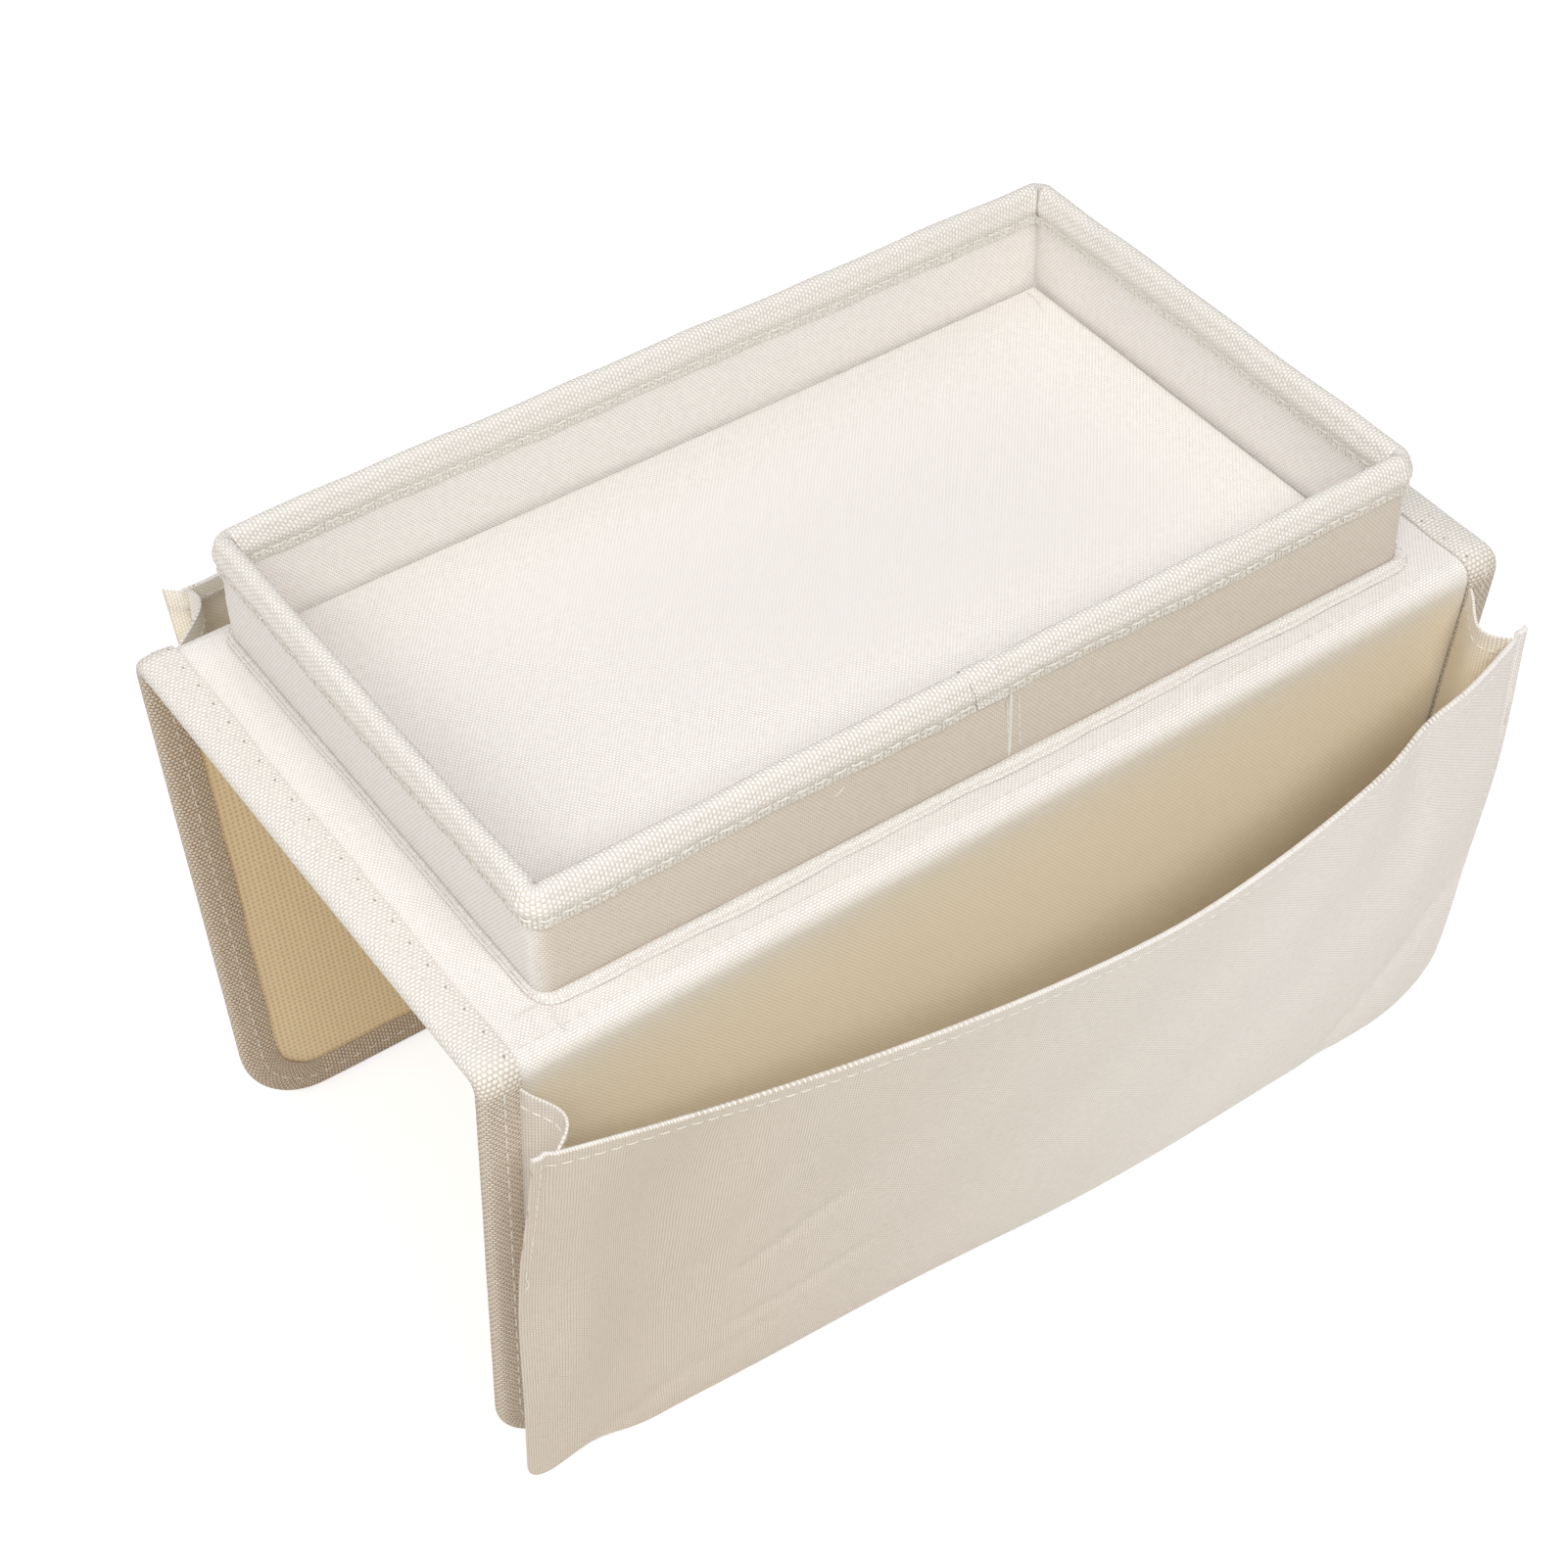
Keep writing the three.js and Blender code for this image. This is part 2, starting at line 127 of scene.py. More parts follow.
class SaddleSettings(bpy.types.PropertyGroup):
    """Sizes of the cloth shell that lies over the arm."""
    cover_cloth: length("Cover cloth", 0.8, "Thickness of the woven cover")
    lining_cloth: length("Lining", 0.6, "Thickness of the lining")
    flap_length: length("Flap length", 188, "From the fold down to the bottom edge")
    flap_corner: length("Flap corner", 26, "Radius of the flaps' bottom corners")
    front_lean: angle("Front lean", 6.5, "How far the front flap hangs inward from upright")
    rear_lean: angle("Rear lean", 4.0, "How far the rear flap hangs inward from upright")
    front_taper: length("Front taper", 0.8, "How far each front edge comes in at the bottom")
    crisp_fold: length("Crisp fold", 0.3, "How far the fold's corner stands out from a round bend")
    rear_taper: length("Rear taper", 8.0, "How far each rear edge comes in at the bottom")
    tape_face: length("Tape face", 12, "Width of the binding tape on each face")
    tape_cloth: length("Tape cloth", 0.8, "Thickness of the binding tape")
    tape_stand: length("Tape stand", 1.1, "How far the tape's face stands off the cloth under it")
    tape_plump: length("Tape plump", 0.4, "Extra height in the middle of the tape's face")
    stitch_inset: length("Stitch inset", 6.4, "From the bound edge to the tape's stitch line")


class TraySettings(bpy.types.PropertyGroup):
    """Sizes of the tray's cloth."""
    cloth: length("Wall cloth", 0.8, "Thickness of the wall cloths")
    wall: length("Wall", 4.0, "Thickness of the whole wall")
    corner: length("Corner", 5.0, "Radius of the tray's outer corners")
    bulge: length("Bulge", 0.6, "How far a wall swells between welt and rim")
    rim_face: length("Rim face", 12.5, "Width of the rim binding on each face of the wall")
    rim_plump: length("Rim plump", 1.0, "Extra thickness of the rim binding in the middle of its face")
    rim_flat: length("Rim flat", 3.2, "Width of the flat sewn edge under the rim's roll")
    welt_front: length("Front welt", 4.6, "Width of the base seam welt on the front")
    welt_other: length("Other welt", 2.2, "Width of the base seam welt on the other sides")
    welt_height: length("Welt height", 1.7, "Height of the welt's inner ridge")


POCKET_WORDS = {
    "half": ("Half length", "Half of the panel's length"),
    "seam": ("Seam", "Half of the distance between the gusset seams on the flap"),
    "mouth": ("Mouth", "From the fold down to the mouth's ends"),
    "dip": ("Dip", "How much lower the mouth hangs in the middle"),
    "left_out": ("Left mouth end", "How far out the mouth's left end stands"),
    "right_out": ("Right mouth end", "How far out the mouth's right end stands"),
    "bulge": ("Bulge", "How much further out the mouth stands at its fullest"),
    "bulge_x": ("Bulge place", "Where along the mouth it is fullest"),
    "kink": ("Kink", "How far the mouth is pressed in between its fullest place and its right end"),
    "spread": ("Spread", "How far the left edge swings out below the mouth"),
    "wave": ("Wave", "How far the bottom edge waves up and down"),
    "bottom": ("Bottom", "From the fold down to the bottom edge"),
    "bottom_left": ("Left bottom", "How far out the bottom edge's left end stands"),
    "bottom_right": ("Right bottom", "How far out the bottom edge's right end stands"),
    "belly_left": ("Left belly", "How far the left part swells between mouth and bottom"),
    "belly_right": ("Right belly", "How far the right part swells between mouth and bottom"),
    "corner_left": ("Left corner", "Radius of the left bottom corner"),
    "corner_right": ("Right corner", "Radius of the right bottom corner"),
    "tip": ("Tip", "How much lower the left bottom corner hangs"),
    "lift": ("Lift", "How much higher the bottom edge runs beside that corner"),
    "crease": ("Crease", "How far the gussets fold inward at the mouth"),
    "flange": ("Flange", "Width of the pinched seam at the mouth's ends"),
    "flare": ("Flare", "How far the pinched seam turns outward at the mouth's left end"),
    "rise": ("Rise", "How much higher the gussets reach at the flap than at the panel"),
}


def pocket_settings(bulge_power, gusset_tone, **lengths):
    """The settings of one pocket: two shares, and its lengths in millimetres."""
    settings = {}
    for key, value in lengths.items():
        name, description = POCKET_WORDS[key]
        settings[key] = length(name, value, description)
    settings["bulge_power"] = share(
        "Bulge power", bulge_power, "Falling off of the bulge: 1 is a straight slope, 2 a round one"
    )
    # Painted shade: how much of the darker painted shade colours the gussets' outside takes.
    settings["gusset_tone"] = share(
        "Gusset painted shade", gusset_tone, "How much of the panel's darker tone the side gussets have"
    )
    return settings


class FrontPocketSettings(bpy.types.PropertyGroup):
    """Shape of the front pocket, measured from the fold down and from the flap out."""
    __annotations__ = pocket_settings(
        half=172, seam=165.2, mouth=6, dip=0.5, left_out=19, right_out=19.6,
        bulge=31, bulge_x=14, bulge_power=1.7, kink=2, spread=2.2, wave=1.5,
        bottom=184.2, bottom_left=13, bottom_right=23, belly_left=-3.2, belly_right=4,
        corner_left=9, corner_right=26, tip=5.5, lift=3.2,
        crease=7, flange=4, flare=0.5, rise=5, gusset_tone=0.7,
    )


class RearPocketSettings(bpy.types.PropertyGroup):
    """Shape of the rear pocket, measured from the fold down and from the flap out."""
    __annotations__ = pocket_settings(
        half=150, seam=164.5, mouth=4, dip=3, left_out=32, right_out=30,
        bulge=14, bulge_x=0, bulge_power=2.0, kink=0.5, spread=0, wave=0.6,
        bottom=185, bottom_left=14, bottom_right=16, belly_left=2, belly_right=3,
        corner_left=20, corner_right=22, tip=0.5, lift=0.5,
        crease=6, flange=4, flare=6, rise=3, gusset_tone=0.0,
    )


class ClothSettings(bpy.types.PropertyGroup):
    """Colours and yarn sizes of the cloths, and the colours that paint shade and bounce light on them."""
    cover: colour("Cover", 253, 250, 247, "Yarn of the woven cover")
    # The darker gap colour paints the shade between the cover's yarns.
    cover_gap: colour("Cover gaps", 186, 168, 144, "Between the yarns of the cover")
    # Painted warm bounce light and shade: the cover takes these warmer colours, with lighter gaps, inside the
    # pockets.
    inside: colour("Pocket inside", 255, 246, 226, "Yarn of the cover inside the pockets")
    inside_gap: colour("Pocket inside gaps", 220, 198, 160, "Between the yarns inside the pockets")
    # Painted shade: the cover takes these darker, warmer colours on the pocket panels' outside towards the left
    # end, on the tray's front wall and on the gussets' outside.
    panel: colour("Panel", 226, 216, 203, "Yarn of the pockets' outside at its left end")
    panel_gap: colour("Panel gaps", 166, 146, 122, "Between the yarns of that outside at its left end")
    tape: colour("Tape", 251, 248, 244, "Yarn of the binding tape")
    # The darker gap colour paints the shade between the tape's yarns.
    tape_gap: colour("Tape gaps", 220, 208, 190, "Between the yarns of the tape")
    # Painted shade: the tape takes these darker colours where it hangs down the flaps and on the rim's lower
    # edge.
    tape_painted_shade: colour("Tape painted shade", 234, 218, 198, "Yarn of the tape on the flaps and at the rim's lower edge")
    tape_painted_shade_gap: colour("Tape painted shade gaps", 112, 90, 66, "Between the yarns of the tape's painted shade")
    lining: colour("Lining", 252, 234, 198, "Non-woven lining")
    lining_dot: colour("Lining dots", 226, 200, 158, "Pressed dots of the lining")
    thread: colour("Thread", 248, 245, 238, "Sewing thread")
    board: colour("Board", 172, 152, 124, "Fibre board inside the flaps, walls and floor")
    yarn: length("Cover yarn", 0.8, "Distance between the cover's yarns")
    rib: length("Cover rib", 1.3, "Distance between the cover's cross yarns")
    tape_yarn: length("Tape yarn", 1.2, "Distance between the tape's yarns")


class StageSettings(bpy.types.PropertyGroup):
    """Camera and light, fitted to the photo."""
    azimuth: angle("Azimuth", -33.0858, "Direction the camera stands in, round the object")
    elevation: angle("Elevation", 44.7661, "How far above level the camera stands")
    roll: angle("Roll", 2.0, "Turn of the camera about its own line of sight")
    right: length("Right", 11.438, "How far right of the line of sight the frame's origin lies")
    down: length("Down", -50.130, "How far below the line of sight the frame's origin lies")
    ahead: length("Ahead", 923.874, "How far ahead of the camera the frame's origin lies")
    focal: share("Focal length", 72.04, "Focal length in millimetres on a 36 mm sensor")
    ambient: share("Ambient", 0.32, "Strength of the even light from all round")
    key: share("Key light", 12.5, "Power of the soft light on the camera's side, in watts")
    front: share("Front light", 19.0, "Power of the soft light before the front pocket, in watts")
    left: share("Left light", 10.0, "Power of the soft light at the left end, in watts")
    back: share("Back light", 6.5, "Power of the soft light behind the rear pocket, in watts")


class OrganizerSettings(bpy.types.PropertyGroup):
    """All settings of the organizer."""
    saddle: bpy.props.PointerProperty(type=SaddleSettings, name="Saddle", description="Saddle cloth")
    tray: bpy.props.PointerProperty(type=TraySettings, name="Tray", description="Tray cloth")
    front: bpy.props.PointerProperty(type=FrontPocketSettings, name="Front", description="Front pocket")
    rear: bpy.props.PointerProperty(type=RearPocketSettings, name="Rear", description="Rear pocket")
    cloth: bpy.props.PointerProperty(type=ClothSettings, name="Cloth", description="Cloth looks")
    stage: bpy.props.PointerProperty(type=StageSettings, name="Stage", description="Camera and light")


# Meshes

def wrap(numbers):
    """A layout of point numbers with its first column repeated at the end."""
    return np.concatenate([numbers, numbers[:, :1]], axis=1)


def closed(line):
    """A line of points that ends where it starts."""
    return np.concatenate([line, line[:1]])


def grid(*parts):
    """Arrays spread over their common layout and joined as coordinates."""
    return np.stack(np.broadcast_arrays(*parts), axis=-1)


def follow(at, along, line):
    """What a line holds at some distances, where along is the distance of each of its points."""
    return np.stack([np.interp(at, along, line[:, k]) for k in range(3)], axis=-1)


def ease(part):
    """A share from 0 to 1 that starts and ends gently."""
    return part * part * (3 - 2 * part)


def bell(at, middle, wide):
    """One at the middle, falling off on both sides."""
    return np.exp(-((at - middle) / wide) ** 2)


class Piece:
    """Collects the points, faces, weave coordinates and shade of one mesh."""

    def __init__(self):
        self.points = []
        self.shades = []
        self.faces = []
        self.coords = []
        self.slots = []
        self.count = 0

    def add(self, points, shade=0.0):
        """Adds an array of points and gives back their numbers in the same layout."""
        points = np.asarray(points, float)
        layout = points.shape[:-1]
        numbers = self.count + np.arange(int(np.prod(layout))).reshape(layout)
        self.points.append(points.reshape(-1, 3))
        self.shades.append(np.broadcast_to(shade, layout).reshape(-1))
        self.count += numbers.size
        return numbers

    def face(self, corners, coords, slot=0):
        """Adds one face."""
        self.faces.append(corners)
        self.coords.extend(coords)
        self.slots.append(slot)

    def strip(self, numbers, coords, slot=0):
        """Fills a layout of point numbers with quads."""
        rows, columns = numbers.shape
        numbers = numbers.tolist()
        coords = np.asarray(coords, float).tolist()
        for r in range(rows - 1):
            for c in range(columns - 1):
                cells = ((r, c), (r, c + 1), (r + 1, c + 1), (r + 1, c))
                self.face([numbers[i][j] for i, j in cells], [coords[i][j] for i, j in cells], slot)

    def sheet(self, outer, inner, coords, slots=(0, 0), ring=False, shades=(0.0, 0.0), crown=None):
        """A closed cloth between two layouts of points; crown rounds off its first edge."""
        first, second = self.add(outer, shades[0]), self.add(inner, shades[1])
        if ring:
            first, second = wrap(first), wrap(second)
        self.strip(first, coords, slots[0])
        self.strip(second, coords, slots[1])
        edges = [(first[-1], second[-1], coords[-1])]
        if not ring:
            edges.append((first[:, 0], second[:, 0], coords[:, 0]))
            edges.append((first[:, -1], second[:, -1], coords[:, -1]))
        if crown is None:
            edges.append((first[0], second[0], coords[0]))
        else:
            middle = self.add(crown)
            self.strip(np.stack([first[0], middle, second[0]]), np.stack([coords[0]] * 3), slots[0])
            for end in (0, -1):
                corners = [int(first[0, end]), int(middle[end]), int(second[0, end])]
                self.face(corners, [coords[0, end]] * 3, slots[0])
        for one, two, along in edges:
            self.strip(np.stack([one, two]), np.stack([along, along]), slots[0])

    def tube(self, points, coords, slot=0, shade=0.0):
        """A closed profile (columns) carried along an open path (rows), with both ends capped."""
        numbers = self.add(points, shade)
        self.strip(wrap(numbers), coords, slot)
        for end in (0, -1):
            self.face(numbers[end].tolist(), coords[end, :-1].tolist(), slot)

    def loop(self, points, coords, slot=0, shade=0.0):
        """A closed profile (rows) carried round a closed path (columns)."""
        numbers = wrap(self.add(points, shade))
        self.strip(np.concatenate([numbers, numbers[:1]]), coords, slot)

    def make(self, name, *materials, crisp=50):
        """The finished object; edges sharper than crisp degrees stay sharp."""
        mesh = bpy.data.meshes.new(name)
        mesh.from_pydata(np.concatenate(self.points).tolist(), [], self.faces)
        for material in materials:
            mesh.materials.append(material)
        mesh.polygons.foreach_set("material_index", self.slots)
        layer = mesh.uv_layers.new(name="weave")
        layer.data.foreach_set("uv", np.asarray(self.coords, np.float32).reshape(-1))
        shade = mesh.attributes.new("shade", "FLOAT", "POINT")
        shade.data.foreach_set("value", np.concatenate(self.shades).astype(np.float32))
        solid = bmesh.new()
        solid.from_mesh(mesh)
        bmesh.ops.recalc_face_normals(solid, faces=solid.faces)
        solid.to_mesh(mesh)
        solid.free()
        mesh.shade_smooth()
        mesh.set_sharp_from_angle(angle=math.radians(crisp))
        made = bpy.data.objects.new(name, mesh)
        bpy.context.scene.collection.objects.link(made)
        return made


def unit(vectors):
    """Vectors of length one."""
    return vectors / np.maximum(np.linalg.norm(vectors, axis=-1, keepdims=True), 1e-9)


def travel(line):
    """Distance along a line of points, for each of them."""
    return np.concatenate([[0], np.cumsum(np.linalg.norm(np.diff(line, axis=0), axis=1))])


def thread(piece, line, normal, radius, sides=6):
    """A thin closed thread along a short line of points."""
    line = np.asarray(line, float)
    forward = unit(np.gradient(line, axis=0))
    across = unit(np.cross(forward, np.broadcast_to(normal, line.shape)))
    upward = np.cross(across, forward)
    turn = np.linspace(0, 2 * math.pi, sides, endpoint=False)
    ring = np.cos(turn)[:, None] * across[:, None] + np.sin(turn)[:, None] * upward[:, None]
    thick = np.full(len(line), radius)
    thick[[0, -1]] *= 0.5
    points = line[:, None] + ring * thick[:, None, None]
    around = np.linspace(0, 2 * math.pi * radius, sides + 1)
    piece.tube(points, grid(travel(line)[:, None], around[None]))


def stitches(piece, line, normal, pitch, radius, gap=0.16, seed=1):
    """A row of stitches along a line of points, each arched over the cloth and dipping in at its ends."""
    chance = random.Random(seed)
    line = np.asarray(line, float)
    normal = np.broadcast_to(normal, line.shape)
    along = travel(line)
    rise = np.array([-1.0, 0.45, 0.75, 0.45, -1.0]) * radius
    start = 0.2 * pitch
    while start + pitch < along[-1]:
        stop = start + pitch * (1 - gap)
        at = np.linspace(start, stop, 5)
        spot = follow(at, along, line)
        out = unit(follow(at, along, normal))
        thread(piece, spot + out * rise[:, None], out, radius)
        start += pitch * chance.uniform(0.94, 1.06)


def loose_end(piece, points, radius=0.16 * MM):
    """A cut thread end that curls through a few points."""
    points = np.asarray(points, float) * MM
    along = travel(points)
    at = np.linspace(0, along[-1], 4 * len(points))
    line = follow(at, along, points)
    for _ in range(3):
        line[1:-1] = (line[:-2] + 2 * line[1:-1] + line[2:]) / 4
    thread(piece, line, (0, 0, 1), radius)


# Shape of the saddle

class Side:
    """One half of the saddle: where each point of its flat pattern lies."""

    def __init__(self, name, settings):
        saddle = settings.saddle
        axis = joints[name + "_flap_fold"]["pos_m"]
        self.name = name
        self.sign = -1 if name == "front" else 1
        self.edge = abs(axis[1])
        self.axis_z = axis[2]
        self.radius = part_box("top_cover")[1].z - self.axis_z
        self.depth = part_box("top_cover")[1].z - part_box("top_lining")[0].z
        self.bend = math.pi / 2 + getattr(saddle, name + "_lean")
        self.taper = getattr(saddle, name + "_taper")
        self.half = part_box("top_binding_right")[1].x
        self.flap_length = saddle.flap_length
        self.flap_start = self.edge + self.radius * self.bend
        self.end = self.flap_start + self.flap_length
        self.corner = saddle.flap_corner
        self.crisp = saddle.crisp_fold
        self.outward = np.array([0, self.sign * math.sin(self.bend), math.cos(self.bend)])

    def point(self, x, s, lift):
        """x along the arm, s from the top's middle out and down, lift above the cover's face."""
        x, s, lift = np.broadcast_arrays(x, s, lift)
        turn = np.clip((s - self.edge) / self.radius, 0, self.bend)
        down = np.maximum(s - self.flap_start, 0)
        corner = self.crisp * np.sin(math.pi * turn / self.bend) ** 4
        reach = self.radius + lift + corner * np.clip(1 + lift / self.depth, 0, 1)
        y = np.minimum(s, self.edge) + reach * np.sin(turn) + down * math.cos(self.bend)
        z = self.axis_z + reach * np.cos(turn) - down * math.sin(self.bend)
        narrow = np.sign(x) * np.minimum(np.abs(x), 1) * self.taper * down / self.flap_length
        return np.stack([x - narrow * np.abs(x) / self.half, self.sign * y, z], axis=-1)

    def flap(self, x, down, out):
        """A point beside the flap."""
        return self.point(x, self.flap_start + down, out)

    def normal(self, s):
        """Outward directions over the flat pattern."""
        turn = np.clip((np.asarray(s) - self.edge) / self.radius, 0, self.bend)
        return np.stack([0 * turn, self.sign * np.sin(turn), np.cos(turn)], axis=-1)

    def half_width(self, s, inset):
        """Half of the flat pattern's width at s, inside its rounded bottom corners."""
        corner = max(self.corner - inset, 0.1 * MM)
        drop = np.maximum(s - (self.end - inset - corner), 0)
        return self.half - inset - corner + np.sqrt(np.maximum(corner**2 - drop**2, 0))

    def rows(self, inset):
        """Distances s that follow the pattern's bends."""
        corner = self.corner - inset
        stop = self.end - inset
        turn = np.sin(np.linspace(0, math.pi / 2, 9))
        return np.unique(np.concatenate([
            np.linspace(0, self.edge - 8 * MM, 10),
            np.linspace(self.edge - 8 * MM, self.flap_start + 8 * MM, 24),
            np.linspace(self.flap_start + 8 * MM, stop - corner, 24),
            stop - corner + corner * turn,
        ]).round(7))

    def edge_line(self, inset):
        """The bound edge moved in by inset: x and s along it, from the left end round to the right one."""
        corner = self.corner
        low = self.end - corner
        leg = np.unique(np.concatenate([
            np.linspace(0, self.edge, 30),
            np.linspace(self.edge, self.flap_start + 6 * MM, 22),
            np.linspace(self.flap_start + 6 * MM, low, 44),
        ]).round(7))
        turn = np.linspace(0, math.pi / 2, 16)[1:-1]
        arc = corner - inset
        bottom = np.linspace(-(self.half - corner), self.half - corner, 90)
        x = np.concatenate([
            0 * leg - self.half + inset,
            -self.half + corner - arc * np.cos(turn),
            bottom,
            (self.half - corner + arc * np.cos(turn))[::-1],
            0 * leg + self.half - inset,
        ])
        s = np.concatenate([
            leg,
            low + arc * np.sin(turn),
            0 * bottom + self.end - inset,
            (low + arc * np.sin(turn))[::-1],
            leg[::-1],
        ])
        return x, s

    def bend_over(self, made):
        """Bakes a piece's placement into its mesh."""
        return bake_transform(made)


def waver(at, seed, size):
    """A slow, small, repeatable waver along a length in metres."""
    slow = 0.5 * np.sin(at * 61 + seed)
    medium = 0.3 * np.sin(at * 137 + 2.1 * seed)
    quick = 0.2 * np.sin(at * 293 + 3.7 * seed)
    return size * (slow + medium + quick)


def cover_half(side, settings, looks):
    """Woven cover of one half of the top, its fold and its flap, with painted warm bounce light and shade
    inside the pocket.
    """
    s = side.rows(CLOTH_INSET)[:, None]
    x = np.linspace(-1, 1, 61)[None] * side.half_width(s, CLOTH_INSET)
    puff = 0.12 * MM * np.sin(x * 70 + 1) * np.sin(s * 50)
    # shade paints warm bounce light and shade on the flap inside the pocket: it fades in from 8 mm above the
    # flap's start and fades out just inside the gusset seams.
    shade_above, shade_ramp, seam_ramp = 8 * MM, 20 * MM, 4 * MM
    depth = np.clip((s - side.flap_start + shade_above) / shade_ramp, 0, 1)
    ends = np.clip((getattr(settings, side.name).seam - np.abs(x)) / seam_ramp, 0, 1)
    shade = ease(depth) * ends
    thick = settings.saddle.cover_cloth
    piece = Piece()
    piece.sheet(side.point(x, s, puff), side.point(x, s, puff - thick), grid(s, x), shades=(shade, shade))
    made = piece.make(side.name + "_cover", looks["cover"])
    side.bend_over(made)
    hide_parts("top_cover", side.name + "_fold_cover", side.name + "_flap_cover")
    return made


def lining_half(side, settings, looks):
    """Dotted lining of one half, on the arm's side."""
    s = side.rows(CLOTH_INSET)[:, None]
    x = np.linspace(-1, 1, 41)[None] * side.half_width(s, CLOTH_INSET)
    thick = settings.saddle.lining_cloth
    piece = Piece()
    piece.sheet(side.point(x, s, thick - side.depth), side.point(x, s, -side.depth), grid(x, s))
    made = piece.make(side.name + "_lining", looks["lining"])
    side.bend_over(made)
    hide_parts("top_lining", side.name + "_fold_lining", side.name + "_flap_lining")
    return made


def tape_profile(face, stand, cloth, depth, plump, flat=0.0):
    """Inset and lift of the binding's closed cross-section, from the outer face round the edge and back.

    The face is plump down to its last part, flat, which lies level.
    """
    middle = -depth / 2
    radius = depth / 2 + stand
    leg = np.linspace(face, radius, 7)
    if flat > 0:
        leg = np.concatenate([[face, face - 0.5 * flat], np.linspace(face - flat, radius, 9)])
    swell = np.sin(np.clip((face - flat - leg) / (face - flat - radius), 0, 1) * math.pi) * plump
    turn = np.linspace(math.pi / 2, -math.pi / 2, 11)[1:-1]
    outer = [(i, middle + radius + h) for i, h in zip(leg, swell)]
    outer += [(radius * (1 - math.cos(a)), middle + radius * math.sin(a)) for a in turn]
    outer += [(i, middle - radius - h) for i, h in zip(leg[::-1], swell[::-1])]
    thin = radius - cloth
    inner = [(i, middle - thin - h) for i, h in zip(leg, swell)]
    inner += [(radius - thin * math.cos(a), middle + thin * math.sin(a)) for a in turn[::-1]]
    inner += [(i, middle + thin + h) for i, h in zip(leg[::-1], swell[::-1])]
    return np.array(outer + inner)


def binding_half(side, settings, looks):
    """Tape round the bound edge of one half, with its stitches on both faces and a row along the fold."""
    saddle, name = settings.saddle, side.name
    profile = tape_profile(
        saddle.tape_face, saddle.tape_stand, saddle.tape_cloth, side.depth, saddle.tape_plump
    )
    nominal = travel(np.stack(side.edge_line(0), axis=-1))
    step = 0.1 * MM
    layers = []
    for inset, lift in profile:
        wave = waver(nominal, 2.0 + side.sign, 0.5 * MM) * (inset / saddle.tape_face) ** 3
        x, s = side.edge_line(inset)
        next_x, next_s = side.edge_line(inset + step)
        x, s = x + (next_x - x) / step * wave, s + (next_s - s) / step * wave
        layers.append(side.point(x, s, lift + waver(nominal, 5.0, 0.12 * MM)))
    around = travel(closed(profile))
    # Painted shade on the tape where it hangs down the flap, a little more on the arm's side.
    hanging_shade_ramp = 12 * MM
    hanging = np.clip((side.edge_line(0)[1] - side.edge) / hanging_shade_ramp, 0, 1)[:, None]
    armward = np.clip(-profile[:, 1] / side.depth, 0, 1)[None]
    coords = grid(nominal[:, None], around[None])
    piece = Piece()
    piece.tube(np.stack(layers, axis=1), coords, shade=hanging * (0.8 + 0.2 * armward))
    made = piece.make(name + "_binding", looks["pierced"])
    side.bend_over(made)
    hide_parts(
        "top_binding_left", "top_binding_right",
        name + "_fold_binding_left", name + "_fold_binding_right", name + "_flap_binding"
    )
    sewn = Piece()
    x, s = side.edge_line(saddle.stitch_inset)
    upward = side.normal(s)
    raised = saddle.tape_stand + 0.75 * saddle.tape_plump
    high, low = side.point(x, s, raised), side.point(x, s, -side.depth - raised)
    stitches(sewn, high, upward, pitch=6.5 * MM, radius=0.26 * MM, seed=3)
    stitches(sewn, low, -upward, pitch=5.5 * MM, radius=0.2 * MM, gap=0.3, seed=4)
    fold_end, fold_row = side.half - 14 * MM, side.edge + 1.0 * MM
    x = np.linspace(-fold_end, fold_end, 200)
    line, upward = side.point(x, fold_row, 0.05 * MM), side.normal(0 * x + fold_row)
    stitches(sewn, line, upward, pitch=4.2 * MM, radius=0.16 * MM, seed=5)
    threads = sewn.make(name + "_binding_stitches", looks["thread"])
    side.bend_over(threads)
    return made


# Shape of the tray

